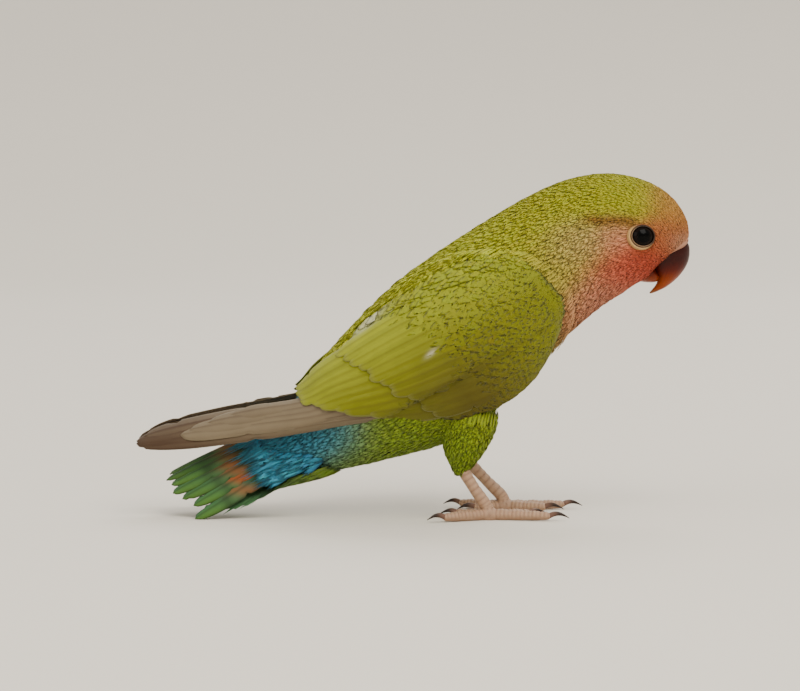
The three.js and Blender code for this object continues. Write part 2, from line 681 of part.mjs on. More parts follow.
const bird = new THREE.Group();
bird.add(
  meshOf("torso", torso, "green"),
  meshOf("neck", bodyPart(NECK_CUT + CUT_HALF_GAP, HEAD_CUT - CUT_HALF_GAP), "green"),
  meshOf("head", head(), "face"),
  meshOf("bill_upper", upperBill(), "bill"),
  meshOf("bill_lower", lowerBill(), "bill"),
  meshOf("tail", tail(bodyPart(TAIL_CUT - CUT_HALF_GAP, TAIL_CUT + 3, GAP), floor), "tail"),
);
for (const [word, side] of [["right", RIGHT], ["left", LEFT]]) {
  bird.add(
    meshOf(`eye_${word}`, eyeball(side, EYE.radius), "eye"),
    meshOf(`wing_${word}`, wing(side, bodyGrown), "wing"),
    meshOf(`thigh_${word}`, largest(thigh(side).subtract(bodyGrown)), "green"),
    meshOf(`shank_${word}`, largest(shank(side).subtract(thigh(side, GAP))), "skin"),
    meshOf(`foot_${word}`, foot(side), "skin"),
  );
  TOES.forEach((spec, i) => bird.add(meshOf(`claw_${word}_${i + 1}`, claw(side, spec), "claw")));
}

// The origin is the middle of the bird's outline on the floor.
const outline = new THREE.Box3().setFromObject(bird);
const middle = outline.getCenter(new THREE.Vector3());
bird.position.set(-middle.x, -middle.y, -outline.min.z);

export default bird;
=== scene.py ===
# %% [markdown]
# # A peach-faced lovebird
#
# This notebook dresses the solid model of a small parrot. The solids hold its size, its pose and the
# place of each part. Here it gets a skin, a coat of small feathers, wings, a tail, a bill, eyes and
# legs, and then a floor, a soft light and a camera.

import math
from contextlib import contextmanager

import bmesh
import bpy
import numpy as np
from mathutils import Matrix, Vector
from mathutils.kdtree import KDTree


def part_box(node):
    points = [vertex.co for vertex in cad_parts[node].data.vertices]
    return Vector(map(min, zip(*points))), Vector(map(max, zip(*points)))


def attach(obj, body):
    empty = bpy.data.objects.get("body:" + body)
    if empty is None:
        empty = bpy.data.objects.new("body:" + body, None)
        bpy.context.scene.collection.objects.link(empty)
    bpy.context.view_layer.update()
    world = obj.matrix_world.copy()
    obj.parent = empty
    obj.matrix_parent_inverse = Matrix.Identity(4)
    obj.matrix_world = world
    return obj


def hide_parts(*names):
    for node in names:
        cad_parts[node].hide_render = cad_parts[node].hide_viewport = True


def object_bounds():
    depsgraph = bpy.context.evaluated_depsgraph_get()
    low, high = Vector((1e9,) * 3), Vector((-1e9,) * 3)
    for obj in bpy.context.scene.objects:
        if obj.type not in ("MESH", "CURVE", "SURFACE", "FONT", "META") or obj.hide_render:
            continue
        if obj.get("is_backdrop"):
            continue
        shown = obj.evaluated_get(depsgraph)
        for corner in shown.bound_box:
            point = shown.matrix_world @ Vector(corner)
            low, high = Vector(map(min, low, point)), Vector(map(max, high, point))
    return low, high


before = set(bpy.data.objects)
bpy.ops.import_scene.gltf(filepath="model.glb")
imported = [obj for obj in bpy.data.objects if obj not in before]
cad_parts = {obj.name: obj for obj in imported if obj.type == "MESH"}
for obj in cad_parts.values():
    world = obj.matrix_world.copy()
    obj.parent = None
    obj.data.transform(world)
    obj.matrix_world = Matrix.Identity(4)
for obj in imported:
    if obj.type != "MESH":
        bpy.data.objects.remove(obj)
cad_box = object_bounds()
print("nodes:", len(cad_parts), "size in mm:", [round(1000 * (b - a), 1) for a, b in zip(*cad_box)])

# %% [markdown]
# ## One drawing for everything
#
# The bird was drawn in millimetres in side view, and the solids were then moved so that their outline
# is centred. The middle of an eye tells how far. All tables below are in the drawing's millimetres,
# and one function turns them into metres in the scene.

# %% From the drawing to the scene
DRAWN_EYE_X = 59.92
SIDES = {"right": -1, "left": 1}
eye_low, eye_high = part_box("eye_right")
SHIFT = np.array([500 * (eye_low.x + eye_high.x) - DRAWN_EYE_X, 0, 0])


def to_scene(points):
    """Points of the drawing in mm, as places in the scene in metres."""
    return (np.asarray(points, float) + SHIFT) / 1000


print("the drawing is moved by", round(float(SHIFT[0]), 3), "mm")

# %% [markdown]
# ## Smooth lines through few sizes
#
# Each form is a short table of sections. A smooth curve through the rows gives as many sections as a
# finer mesh needs, and the solids used the same curve, so the two agree.


# %% Rows between rows
def between(table, place):
    """The rows of a table at fractional places, on a smooth curve, and straight on past its ends."""
    table, place = np.asarray(table, float), np.asarray(place, float)
    last = len(table) - 1
    i = np.clip(np.floor(place).astype(int), 0, last - 1)
    f = np.clip(place - i, 0, 1)[..., None]
    past = (place - i)[..., None] - f
    a, b, c, d = (table[np.clip(i + k, 0, last)] for k in (-1, 0, 1, 2))
    curve = b + 0.5 * f * (c - a + f * (2 * a - 5 * b + 4 * c - d + f * (3 * (b - c) + d - a)))
    return curve + past * (c - b)


def mix(a, b, share):
    return a + (b - a) * share


def ease(value, low=0.0, high=1.0):
    """0 below low, 1 above high and a soft step between them."""
    t = np.clip((np.asarray(value, float) - low) / (high - low), 0, 1)
    return t * t * (3 - 2 * t)


def bell(value, reach):
    """1 where the value is 0, falling away softly on both sides."""
    return np.exp(-((value / reach) ** 2))


def unit(vectors):
    return vectors / np.maximum(np.linalg.norm(vectors, axis=-1, keepdims=True), 1e-12)


print("half way between 1 and 3:", between([[0], [1], [3], [4]], 1.5))

# %% [markdown]
# ## The body
#
# A perched parrot is a long egg that leans forward, with a big round head. Each section runs from a
# point of the back to a point of the belly, and is an egg-shaped ring across the bird.

# %% The body's sections
# Back x and z, belly x and z, half width, and how far down the widest place lies.
BODY = [
    [-43.0, 14.6, -41.0, 10.6, 3.0, 0.5],
    [-38.0, 17.8, -33.5, 9.2, 5.2, 0.5],
    [-33.0, 20.9, -26.5, 9.4, 6.6, 0.5],
    [-29.3, 23.8, -20.0, 10.6, 7.8, 0.5],
    [-27.0, 27.4, -13.8, 11.9, 9.8, 0.5],
    [-24.5, 31.8, -6.3, 13.5, 12.5, 0.5],
    [-20.5, 37.9, 1.3, 15.4, 15.6, 0.5],
    [-14.5, 45.0, 10.0, 17.8, 18.6, 0.5],
    [-7.0, 52.6, 19.3, 22.6, 20.6, 0.5],
    [0.8, 59.7, 27.3, 29.8, 21.2, 0.5],
    [8.5, 65.4, 33.6, 36.8, 20.8, 0.52],
    [16.0, 70.4, 38.8, 42.6, 19.4, 0.54],
    [24.3, 75.6, 43.2, 46.4, 17.4, 0.55],
    [32.8, 80.4, 47.2, 49.9, 15.0, 0.55],
    [41.3, 84.0, 51.0, 52.9, 13.3, 0.55],
    [50.0, 85.6, 54.9, 55.4, 12.6, 0.54],
    [57.5, 84.9, 57.6, 57.3, 12.0, 0.54],
    [63.8, 82.6, 59.4, 58.4, 11.1, 0.54],
    [68.4, 79.0, 60.4, 58.9, 9.8, 0.54],
    [71.2, 74.6, 61.0, 59.6, 8.0, 0.53],
    [72.0, 70.6, 61.5, 61.0, 6.2, 0.52],
    [71.7, 68.3, 62.2, 63.0, 4.7, 0.5],
]
FACE_END = len(BODY) - 1
ROUNDNESS = 2.25


def ring_points(row, turn, grow):
    """Points of egg-shaped rings: turn 0 is the upper point, and the right side comes first."""
    top_x, top_z, low_x, low_z, half, widest = np.moveaxis(row, -1, 0)
    tall = np.hypot(low_x - top_x, low_z - top_z)
    down = ((1 - np.cos(turn)) / 2) ** (np.log(widest) / np.log(0.5))
    along = (down * (tall + 2 * grow) - grow) / tall
    wave = np.sin(turn)
    out = np.sign(wave) * np.abs(wave) ** (2 / ROUNDNESS) * (half + grow)
    return np.stack([mix(top_x, low_x, along), -out, mix(top_z, low_z, along)], -1)


def coat_depth(place):
    """How deep the coat is, in mm: deepest on the belly and rump, thinnest on the face."""
    return np.interp(place, [0, 4, 9, 13, 16, 19, FACE_END], [0.9, 1.0, 0.9, 0.75, 0.55, 0.4, 0.3])


def body_point(place, turn, over=0.0):
    return ring_points(between(BODY, place), turn, over - coat_depth(place))


print("body sections:", len(BODY), "widest:", 2 * max(row[4] for row in BODY), "mm")


# %% How far out the flank lies at a point of the side view
def flank(x, z, grow=0.0):
    """The half width of the body, grown by some mm, at points of the side view; 0 off the body."""

    def side(place):
        tx, tz, lx, lz = np.moveaxis(between(BODY, place)[..., :4], -1, 0)
        return (lx - tx) * (z - tz) - (lz - tz) * (x - tx)

    low, high = np.zeros(np.shape(x)), np.full(np.shape(x), float(FACE_END))
    inside = (side(low) >= 0) & (side(high) <= 0)
    for _ in range(22):
        middle = (low + high) / 2
        ahead = side(middle) > 0
        low, high = np.where(ahead, middle, low), np.where(ahead, high, middle)
    tx, tz, lx, lz, half, widest = np.moveaxis(between(BODY, low), -1, 0)
    tall = np.hypot(lx - tx, lz - tz)
    below = ((x - tx) * (lx - tx) + (z - tz) * (lz - tz)) / tall
    down = (below + grow) / (tall + 2 * grow)
    inside &= (down > 0) & (down < 1)
    level = 1 - 2 * np.clip(down, 0, 1) ** (np.log(0.5) / np.log(widest))
    return np.where(inside, (half + grow) * np.sqrt(np.clip(1 - level**2, 0, 1)) ** (2 / ROUNDNESS), 0)


print("flank at the wing's middle:", np.round(flank(np.array([10.0]), np.array([45.0])), 2), "mm")

# %% [markdown]
# ## The thighs
#
# A parrot's thighs are feathered to the heel and stand out from the belly like short plus-fours. Each
# is a round tube that narrows towards the shank.

# %% Round limbs
# x, y, z and radius at each joint, for the bird's left side.
THIGH = [[18.0, 9.6, 29.0, 7.6], [16.6, 9.7, 22.0, 6.7], [15.6, 9.8, 16.8, 4.9], [15.0, 9.9, 13.2, 2.6]]
SHANK = [
    [15.0, 9.9, 15.0, 1.9],
    [15.6, 9.9, 12.4, 1.55],
    [18.2, 9.9, 8.0, 1.4],
    [21.0, 9.9, 3.9, 1.6],
    [22.0, 9.9, 2.2, 1.5],
]
THIGH_DEPTH = 0.9  # of its coat
AHEAD = {-1: 0, 1: 4.5}  # how far each foot stands forward, by side
ALIKE_ABOVE, AHEAD_FADE = 18.2, 14.0  # over this height the legs are alike, and the step grows below it


def limb_point(joints, side, place, turn, grow=0.0):
    """Points round a limb."""
    row = between(joints, place)
    way = unit(between(joints, place + 0.1)[..., :3] - between(joints, place - 0.1)[..., :3])
    flat = unit(np.cross(way, [0.0, 1.0, 0.0]))
    wide = np.cross(way, flat)
    centre = row[..., :3].copy()
    centre[..., 0] += AHEAD[side] * np.clip((ALIKE_ABOVE - row[..., 2]) / AHEAD_FADE, 0, 1)
    reach = (row[..., 3] + grow)[..., None]
    out = centre + reach * (flat * np.cos(turn)[..., None] + wide * np.sin(turn)[..., None])
    out[..., 1] *= side
    return out


print("thigh length:", round(math.dist(THIGH[0][:3], THIGH[-1][:3]), 1), "mm")

# %% [markdown]
# ## Markings
#
# Skin and feathers carry the same markings, so that no bare colour shows between two feathers. Soft
# patches on the side view, each with a centre, a reach and a colour, are weighed against each other
# at every point, as a painter would blend wet paint. Both sides of the bird are alike.

# %% Colours by name
def paint(text):
    """A colour as it would be mixed on a screen, turned into the light's own scale."""
    value = np.array([int(text[i : i + 2], 16) for i in (0, 2, 4)]) / 255
    return np.where(value <= 0.04045, value / 12.92, ((value + 0.055) / 1.055) ** 2.4)


PAINTS = {
    "yellow_green": paint("9ea21c"),
    "crown_green": paint("969614"),
    "peach": paint("a67232"),
    "rose": paint("9c5430"),
    "pale_rose": paint("b08468"),
    "coral": paint("b84a36"),
    "brick": paint("8c2c14"),
    "cream": paint("b09458"),
    "sand": paint("a08e38"),
    "blush": paint("c07a60"),
    "straw": paint("a0943e"),
    "leaf_green": paint("7e8c12"),
    "grass_green": paint("6e8614"),
    "sky_blue": paint("2c7690"),
    "olive_brown": paint("70480e"),
}
print("paints:", ", ".join(PAINTS))

# %% Body markings
# Centre x and z, reach along x and z, strength and paint.
PATCHES = [
    (12, 66, 26, 12, 1.0, "yellow_green"),
    (48, 84, 15, 9, 1.8, "crown_green"),
    (33, 74, 12, 8, 1.0, "crown_green"),
    (55, 77, 8, 2.5, 1.0, "crown_green"),
    (69, 77, 6, 6, 2.4, "peach"),
    (66, 70, 6, 4, 3.2, "rose"),
    (69.9, 68.6, 2.6, 1.9, 3.2, "pale_rose"),
    (57, 62, 7, 5, 3.0, "coral"),
    (61, 65, 4, 4, 1.8, "brick"),
    (53, 70, 4.5, 4, 1.8, "blush"),
    (44, 69, 6, 4.5, 2.4, "cream"),
    (38, 63, 8, 8, 1.0, "sand"),
    (51, 55, 7, 6, 2.2, "blush"),
    (44, 47, 7, 6, 1.0, "blush"),
    (37, 40, 9, 8, 1.4, "straw"),
    (22, 28, 18, 12, 1.4, "leaf_green"),
    (6, 18, 16, 9, 1.6, "grass_green"),
    (-12, 11, 9, 5, 1.4, "grass_green"),
    (-24, 22, 10, 9, 2.6, "sky_blue"),
    (-16, 40, 14, 10, 1.0, "yellow_green"),
]
STREAK_X, STREAK_Z, STREAK_SLOPE, STREAK_HALF = 52, 74.2, 0.05, 1.3  # the dark line over the eye


def body_markings(points):
    """The colour of skin and feathers at points of the drawing."""
    x, z = points[..., 0], points[..., 2]
    total = np.zeros(x.shape)
    colour = np.zeros(x.shape + (3,))
    for cx, cz, rx, rz, strength, name in PATCHES:
        weight = strength * bell(x - cx, rx) * bell(z - cz, rz) + 1e-9
        colour += weight[..., None] * PAINTS[name]
        total += weight
    streak = 0.85 * bell(z - STREAK_Z + STREAK_SLOPE * (x - STREAK_X), STREAK_HALF)
    streak *= ease(x, 43, 48) * ease(-x, -60, -57) * ease(np.abs(points[..., 1]), 5, 9)
    return mix(colour / total[..., None], PAINTS["olive_brown"], streak[..., None])


print("colour on the crown:", np.round(body_markings(np.array([[50.0, 0, 85]])), 2))

# %% [markdown]
# ## Finishes
#
# Every mesh carries its colours as an attribute, which holds the markings, and a finish adds what the
# surface is like. Feathers are matt with a soft sheen. Their barbs are fine slanting lines on each side
# of the shaft, made from the feather's own coordinates, so they turn with it.

# %% Node helpers
def new_finish(name, roughness, specular=0.5):
    """A material with its nodes and its shader."""
    finish = bpy.data.materials.new(name)
    finish.use_nodes = True
    shader = finish.node_tree.nodes["Principled BSDF"]
    shader.inputs["Roughness"].default_value = roughness
    shader.inputs["Specular IOR Level"].default_value = specular
    return finish, finish.node_tree, shader


def node(tree, kind, inputs=(), **settings):
    """A node with settings, and inputs given as values or as the sockets that feed them."""
    made = tree.nodes.new(kind)
    for key, value in settings.items():
        setattr(made, key, value)
    for key, value in dict(inputs).items():
        if isinstance(value, bpy.types.NodeSocket):
            tree.links.new(value, made.inputs[key])
        else:
            made.inputs[key].default_value = value
    return made


def math_node(tree, operation, *values):
    return node(tree, "ShaderNodeMath", dict(enumerate(values)), operation=operation).outputs[0]


def object_place(tree):
    return node(tree, "ShaderNodeTexCoord").outputs["Object"]


def noise(tree, scale, detail=3.0, squeeze=1.0):
    """Noise over the object, squeezed across the bird."""
    inputs = {"Vector": object_place(tree), "Scale": (1.0, squeeze, 1.0)}
    place = node(tree, "ShaderNodeMapping", inputs).outputs[0]
    inputs = {"Vector": place, "Scale": scale, "Detail": detail}
    return node(tree, "ShaderNodeTexNoise", inputs).outputs["Fac"]


def marks(tree):
    """The colours that the mesh carries."""
    return node(tree, "ShaderNodeAttribute", attribute_name="plumage").outputs["Color"]


def tinted(tree, colour, fac, dark, light):
    """A colour made darker or lighter by a grey pattern."""
    level = node(tree, "ShaderNodeMapRange", {"Value": fac, "To Min": dark, "To Max": light}).outputs[0]
    return node(tree, "ShaderNodeVectorMath", {0: colour, "Scale": level}, operation="SCALE").outputs[0]


def dress(tree, shader, colour, height, distance):
    """Gives the shader its colour, and a bump that is distance high, in metres."""
    bump = node(tree, "ShaderNodeBump", {"Height": height, "Distance": distance, "Strength": 1.0})
    tree.links.new(bump.outputs[0], shader.inputs["Normal"])
    tree.links.new(colour, shader.inputs["Base Color"])


def grained_finish(name, roughness, specular, scale, detail, shades, distance, squeeze=1.0):
    """The mesh's own colours under a fine grain, which is both seen and felt."""
    finish, tree, shader = new_finish(name, roughness, specular)
    grain = noise(tree, scale, detail, squeeze)
    dress(tree, shader, tinted(tree, marks(tree), grain, *shades), grain, distance)
    return finish


print("helpers ready")

# %% The feather finish
BARB_HEIGHT = 0.00004


def feather_finish(name, barb_period, roughness):
    """Matt feathers: markings from the mesh, and barbs from the feather's own map, which is in mm."""
    finish, tree, shader = new_finish(name, roughness, 0.15)
    shader.inputs["Sheen Weight"].default_value = 0.06
    shader.inputs["Sheen Roughness"].default_value = 0.5
    apart = node(tree, "ShaderNodeSeparateXYZ", {0: node(tree, "ShaderNodeUVMap", uv_map="Barbs").outputs[0]})
    slant = math_node(tree, "MULTIPLY", math_node(tree, "ABSOLUTE", apart.outputs[0]), 1.1)
    run = math_node(tree, "SUBTRACT", apart.outputs[1], slant)
    turn = math_node(tree, "MULTIPLY", run, 2 * math.pi / barb_period)
    wobble = math_node(tree, "MULTIPLY", noise(tree, 900.0, 2.0), 5.0)
    barbs = math_node(tree, "SINE", math_node(tree, "ADD", turn, wobble))
    level = math_node(tree, "MULTIPLY_ADD", barbs, 0.5, 0.5)
    soft = tinted(tree, marks(tree), level, 0.95, 1.04)
    dress(tree, shader, tinted(tree, soft, noise(tree, 260.0, 4.0), 0.88, 1.12), level, BARB_HEIGHT)
    return finish


DOWNY = feather_finish("downy_feathers", 0.3, 0.75)
COVERT = feather_finish("covert_feathers", 0.32, 0.7)
FLIGHT = feather_finish("flight_feathers", 0.34, 0.6)
print("feather finishes:", [m.name for m in (DOWNY, COVERT, FLIGHT)])

# %% [markdown]
# ## A grid bent into shape
#
# Skin, bill, lids, toes and claws all start as a flat grid from Blender's grid operator. Each corner
# is moved to its place on the form, and the edges that meet are welded. The flat grid's own layout is
# kept as the map, so every form has a clean unwrap from the start.


# %% Bending a grid
WELD = 2e-6  # metres: corners nearer than this are one


@contextmanager
def edited(mesh):
    """Opens a mesh for bmesh operators, and writes it back after them."""
    bm = bmesh.new()
    bm.from_mesh(mesh)
    yield bm
    bm.to_mesh(mesh)
    bm.free()


def show(name, data):
    """A new object at the origin of the scene."""
    made = bpy.data.objects.new(name, data)
    bpy.context.scene.collection.objects.link(made)
    return made


def bent_grid(name, place_of, columns, rows, cell=(0.0, 0.0, 1.0, 1.0), finish=None):
    """A mesh from a grid whose corners, from 0 to 1 both ways, go where place_of says, in drawing mm."""
    mesh = bpy.data.meshes.new(name)
    low_u, low_v, high_u, high_v = cell
    with edited(mesh) as bm:
        bmesh.ops.create_grid(bm, x_segments=columns, y_segments=rows, size=1)
        layer = bm.loops.layers.uv.new("OFBake")
        for face in bm.faces:
            for loop in face.loops:
                u, v = (loop.vert.co.x + 1) / 2, (loop.vert.co.y + 1) / 2
                loop[layer].uv = (mix(low_u, high_u, u), mix(low_v, high_v, v))
        flat = np.array([vert.co[:2] for vert in bm.verts]) / 2 + 0.5
        for vert, spot in zip(bm.verts, to_scene(place_of(flat[:, 0], flat[:, 1]))):
            vert.co = spot
        bmesh.ops.remove_doubles(bm, verts=bm.verts, dist=WELD)
        bmesh.ops.dissolve_degenerate(bm, edges=bm.edges, dist=WELD)
        bmesh.ops.recalc_face_normals(bm, faces=bm.faces)
    mesh.shade_smooth()
    if finish:
        mesh.materials.append(finish)
    return show(name, mesh)


def pinch(share, end):
    """1 along a tube, and 0 at its two ends, which closes it with round caps."""
    edge = np.clip(np.minimum(share, 1 - share) / end, 0, 1)
    return (1 - (1 - edge) ** 2) ** 0.5


def corner_places(mesh):
    """Each corner's place in drawing mm."""
    spots = np.empty(3 * len(mesh.vertices))
    mesh.vertices.foreach_get("co", spots)
    return spots.reshape(-1, 3) * 1000 - SHIFT


def paint_mesh(mesh, colours):
    """Stores one colour for each corner as the attribute that the finishes read."""
    layer = mesh.color_attributes.new("plumage", "FLOAT_COLOR", "POINT")
    full = np.concatenate([colours, np.ones((len(colours), 1))], 1)
    layer.data.foreach_set("color", full.astype(np.float32).ravel())


def settle(piece, slot, *nodes):
    """Says what a piece rides on and which solids it stands for. slot is not used."""
    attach(piece, "root")
    if nodes:
        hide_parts(*nodes)
    print(f"{piece.name}: {len(piece.data.polygons)} faces")


print("grid tools ready")

# %% [markdown]
# ## Skin
#
# Under the feathers lies one skin over body, neck, head and thighs. The thighs are grown together with
# the body by a union, and the crease is smoothed away, because a seam would show through a thin coat.

# %% Body skin
BODY_CELL = (0.01, 0.01, 0.70, 0.99)


def egg_form(ring_of, last, cap):
    """A row of egg-shaped rings with round caps, for a bent grid."""

    def point_of(u, v):
        place, turn = mix(0.0, last, v), 2 * np.pi * u
        middle = (ring_of(place, 0 * turn) + ring_of(place, 0 * turn + np.pi)) / 2
        return mix(middle, ring_of(place, turn), pinch(v, cap)[:, None])

    return point_of


skin = bent_grid("skin", egg_form(body_point, FACE_END, 0.012), 120, 170, BODY_CELL)
print("body skin:", len(skin.data.polygons), "faces")

# %% Thigh skin, grown into the body
THIGH_CELLS = {"right": (0.72, 0.01, 0.84, 0.45), "left": (0.86, 0.01, 0.98, 0.45)}


def grow_together(base, other):
    """The union of two closed pieces, as the first of them."""
    union = base.modifiers.new("union", "BOOLEAN")
    union.operation, union.solver, union.object = "UNION", "EXACT", other
    whole = bpy.data.meshes.new_from_object(base.evaluated_get(bpy.context.evaluated_depsgraph_get()))
    base.modifiers.clear()
    base.data = whole
    bpy.data.objects.remove(other)


def soften(mesh, near, times):
    """Smooths the crease of forms that were grown together, at the corners that near picks."""
    with edited(mesh) as bm:
        crease = [vert for vert in bm.verts if near(vert.co)]
        for _ in range(times):
            bmesh.ops.smooth_vert(
                bm, verts=crease, factor=0.5, use_axis_x=True, use_axis_y=True, use_axis_z=True
            )
    mesh.shade_smooth()
    print(len(crease), "corners smoothed")


def limb_middle(joints, side, place):
    return limb_point(joints, side, place, 0 * place, -between(joints, place)[..., 3])


def limb_form(joints, side, reach, cap, grow_of):
    """A limb from one joint to another with round caps, for a bent grid."""

    def point_of(u, v):
        place, turn = mix(*reach, v), 2 * np.pi * u
        spot = limb_point(joints, side, place, turn, grow_of(v, turn))
        return mix(limb_middle(joints, side, place), spot, pinch(v, cap)[:, None])

    return point_of


def by_thigh(spot):
    return 4 < 1000 * spot.x - SHIFT[0] < 30 and 1000 * spot.z < 34


for word, side in SIDES.items():
    thigh = limb_form(THIGH, side, (0.1, 3.0), 0.06, lambda v, turn: -THIGH_DEPTH)
    grow_together(skin, bent_grid("thigh", thigh, 40, 40, THIGH_CELLS[word]))
soften(skin.data, by_thigh, 6)

# %% Skin finish
DOWN_ON_SKIN = grained_finish("down_on_skin", 0.9, 0.5, 1800.0, 4.0, (0.75, 1.1), 0.0001)
skin.data.name = "skin"
skin.data.materials.clear()
skin.data.materials.append(DOWN_ON_SKIN)
# the skin is painted a little darker than the feathers, painted shade where it shows between them
paint_mesh(skin.data, body_markings(corner_places(skin.data)) * 0.9)
settle(skin, "body_feathers", "torso", "neck", "head", "thigh_right", "thigh_left")

# %% [markdown]
# ## Surfaces to lay feathers on
#
# A feather lies flat on the bird, so it has to bend with the surface under it. A surface is kept as a
# fine grid of points with its directions and its normal, and can then be read anywhere at once for
# many thousands of corners.


# %% A surface that can be read anywhere
class Lie:
    """A grid of points over two coordinates, u along the bird and v across it.

    Its normals face the way that facing gives, or away from the middle where v runs all round.
    """

    def __init__(self, point_of, u_range, v_range, steps, facing=None):
        self.u, self.v = (np.linspace(*r, n) for r, n in zip((u_range, v_range), steps))
        self.closed = closed = facing is None
        grid = point_of(*np.meshgrid(self.u, self.v, indexing="ij"))
        along, across = np.gradient(grid, self.u, axis=0), np.gradient(grid, self.v, axis=1)
        if closed:
            across[:, 0] = across[:, -1] = (across[:, 0] + across[:, -1]) / 2
        normal = unit(np.cross(along, across))
        out = grid - grid.mean(1, keepdims=True) if closed else np.array(facing)
        self.grids = (grid, along, across, normal * np.sign((normal * out).sum()))

    def at(self, u, v):
        """Points, the two directions per unit of u and v, and normals."""
        if self.closed:
            v = (v - self.v[0]) % (self.v[-1] - self.v[0]) + self.v[0]
        i = (u - self.u[0]) / (self.u[1] - self.u[0])
        j = (v - self.v[0]) / (self.v[1] - self.v[0])
        i0 = np.clip(i.astype(int), 0, len(self.u) - 2)
        j0 = np.clip(j.astype(int), 0, len(self.v) - 2)
        fi, fj = np.clip(i - i0, -8, 9)[..., None], np.clip(j - j0, -8, 9)[..., None]
        found = []
        for grid in self.grids:
            near = mix(grid[i0, j0], grid[i0, j0 + 1], fj)
            far = mix(grid[i0 + 1, j0], grid[i0 + 1, j0 + 1], fj)
            found.append(mix(near, far, fi))
        return found


def steps_for(move, along, across):
    """A move in mm over a surface, as steps of its two coordinates."""
    pairs = ((along, along), (along, across), (across, across), (move, along), (move, across))
    ee, ef, ff, da, db = ((a * b).sum(-1) for a, b in pairs)
    det = np.maximum(ee * ff - ef * ef, 1e-9)
    return (da * ff - db * ef) / det, (db * ee - da * ef) / det


body_lie = Lie(body_point, (-0.4, FACE_END + 0.3), (0, 2 * np.pi), (500, 361))
print("body surface:", body_lie.grids[0].shape[:2], "points")

# %% [markdown]
# ## One small feather
#
# A body feather is a soft vane round a shaft. Its lower part is hidden, and its tip frays into a few
# soft points. The shape is drawn once on a plane: how far along, how far across, and how high each
# corner stands, for the upper face, the rim and the under face. Closed and of some thirty or forty
# faces, it can be repeated tens of thousands of times.

# %% Drawing a small feather
def plume(points, fray, roundness, shoulder):
    """A closed feather with a frayed tip: its corners (along, across, height) and its triangles."""
    rim = [(0.0, 0.0), (0.16, -0.62), (shoulder, -1.0)]
    count = 2 * points - 1
    for k in range(count):
        angle = math.pi * ((k + 0.5) / count - 0.5)
        reach = 1.0 if k % 2 == 0 else 1.0 - fray
        along = shoulder + (1 - shoulder) * (reach * math.cos(angle) ** roundness)
        rim.append((along, math.sin(angle) * (0.35 + 0.65 * reach)))
    rim += [(shoulder, 1.0), (0.16, 0.62)]
    inner = shoulder + 0.75 * (1 - shoulder) * (1 - fray)
    corners = [(a, b, 0.0) for a, b in rim] + [(0.3, 0.0, 0.8), (inner, 0.0, 1.0), (0.5, 0.0, -0.5)]
    near, far, under = range(len(rim), len(corners))
    faces = [(near, 2, far), (near, far, len(rim) - 2)]
    for k in range(len(rim)):
        a, b = k, (k + 1) % len(rim)
        low = corners[a][0] < shoulder or corners[b][0] < shoulder
        faces += [(a, b, near if low else far), (b, a, under)]
    return np.array(corners), np.array(faces)


VELVET, SOFT = plume(4, 0.45, 0.6, 0.5), plume(5, 0.4, 0.65, 0.5)
VANE, LONG = plume(8, 0.07, 0.8, 0.45), plume(5, 0.45, 0.7, 0.45)
print("faces of each kind:", [len(shape[1]) for shape in (VELVET, SOFT, VANE, LONG)])

# %% Laying many feathers
def lay(lie, u, v, heading, length, half, shape, lift, thick, rng, fray=0.05, curl=1.8, droop=0.0):
    """Corners of one feather for each root (u, v), bent over the surface, as (feathers, corners, 3).

    lift is the height over the surface of the roots and of the tips, in mm. With curl 1 a feather
    rises straight, and with more it rises near its root and then runs level. The tip droops by some
    mm, so that its edge sinks softly into the feathers under it.
    """
    _, along, across, normal = lie.at(u, v)
    heading = unit(heading - (heading * normal).sum(-1, keepdims=True) * normal)
    aside = np.cross(normal, heading)
    forth, wide, high = shape[0].T[:, None]
    a = np.repeat(forth, len(u), 0)
    a = a * (1 + fray * rng.standard_normal(a.shape) * (a > 0.6))
    move = (a * length[:, None])[..., None] * heading[:, None]
    move = move + (wide * half[:, None])[..., None] * aside[:, None]
    du, dv = steps_for(move, along[:, None], across[:, None])
    spot, _, _, up = lie.at(u[:, None] + du, v[:, None] + dv)
    rise = mix(lift[0], lift[1], 1 - np.clip(1 - a, 0, 1) ** curl)
    rise = rise + 0.08 * lift[1] * rng.standard_normal((len(u), 1))
    rise = rise - 0.25 * thick * wide**2 + thick * high - droop * ease(a, 0.55, 1.0)
    return spot + rise[..., None] * up


print("laying ready")

# %% Many feathers as one mesh
PATCH_SIZE = 0.003  # of each small feather on the map


def array_mesh(name, spots, faces, smooth, colours, maps, finish):
    """A mesh from arrays: corners in drawing mm with their colours and maps, and faces of one size."""
    mesh = bpy.data.meshes.new(name)
    mesh.vertices.add(len(spots))
    mesh.vertices.foreach_set("co", to_scene(spots).astype(np.float32).ravel())
    mesh.loops.add(faces.size)
    mesh.loops.foreach_set("vertex_index", faces.ravel().astype(np.int32))
    mesh.polygons.add(len(faces))
    mesh.polygons.foreach_set("loop_start", np.arange(0, faces.size, faces.shape[1], dtype=np.int32))
    mesh.polygons.foreach_set("use_smooth", smooth)
    mesh.update(calc_edges=True)
    paint_mesh(mesh, colours)
    for title, values in zip(("OFBake", "Barbs"), maps):
        layer = mesh.uv_layers.new(name=title)
        layer.data.foreach_set("uv", values[faces.ravel()].astype(np.float32).ravel())
    mesh.uv_layers.active = mesh.uv_layers["OFBake"]
    mesh.materials.append(finish)
    return mesh


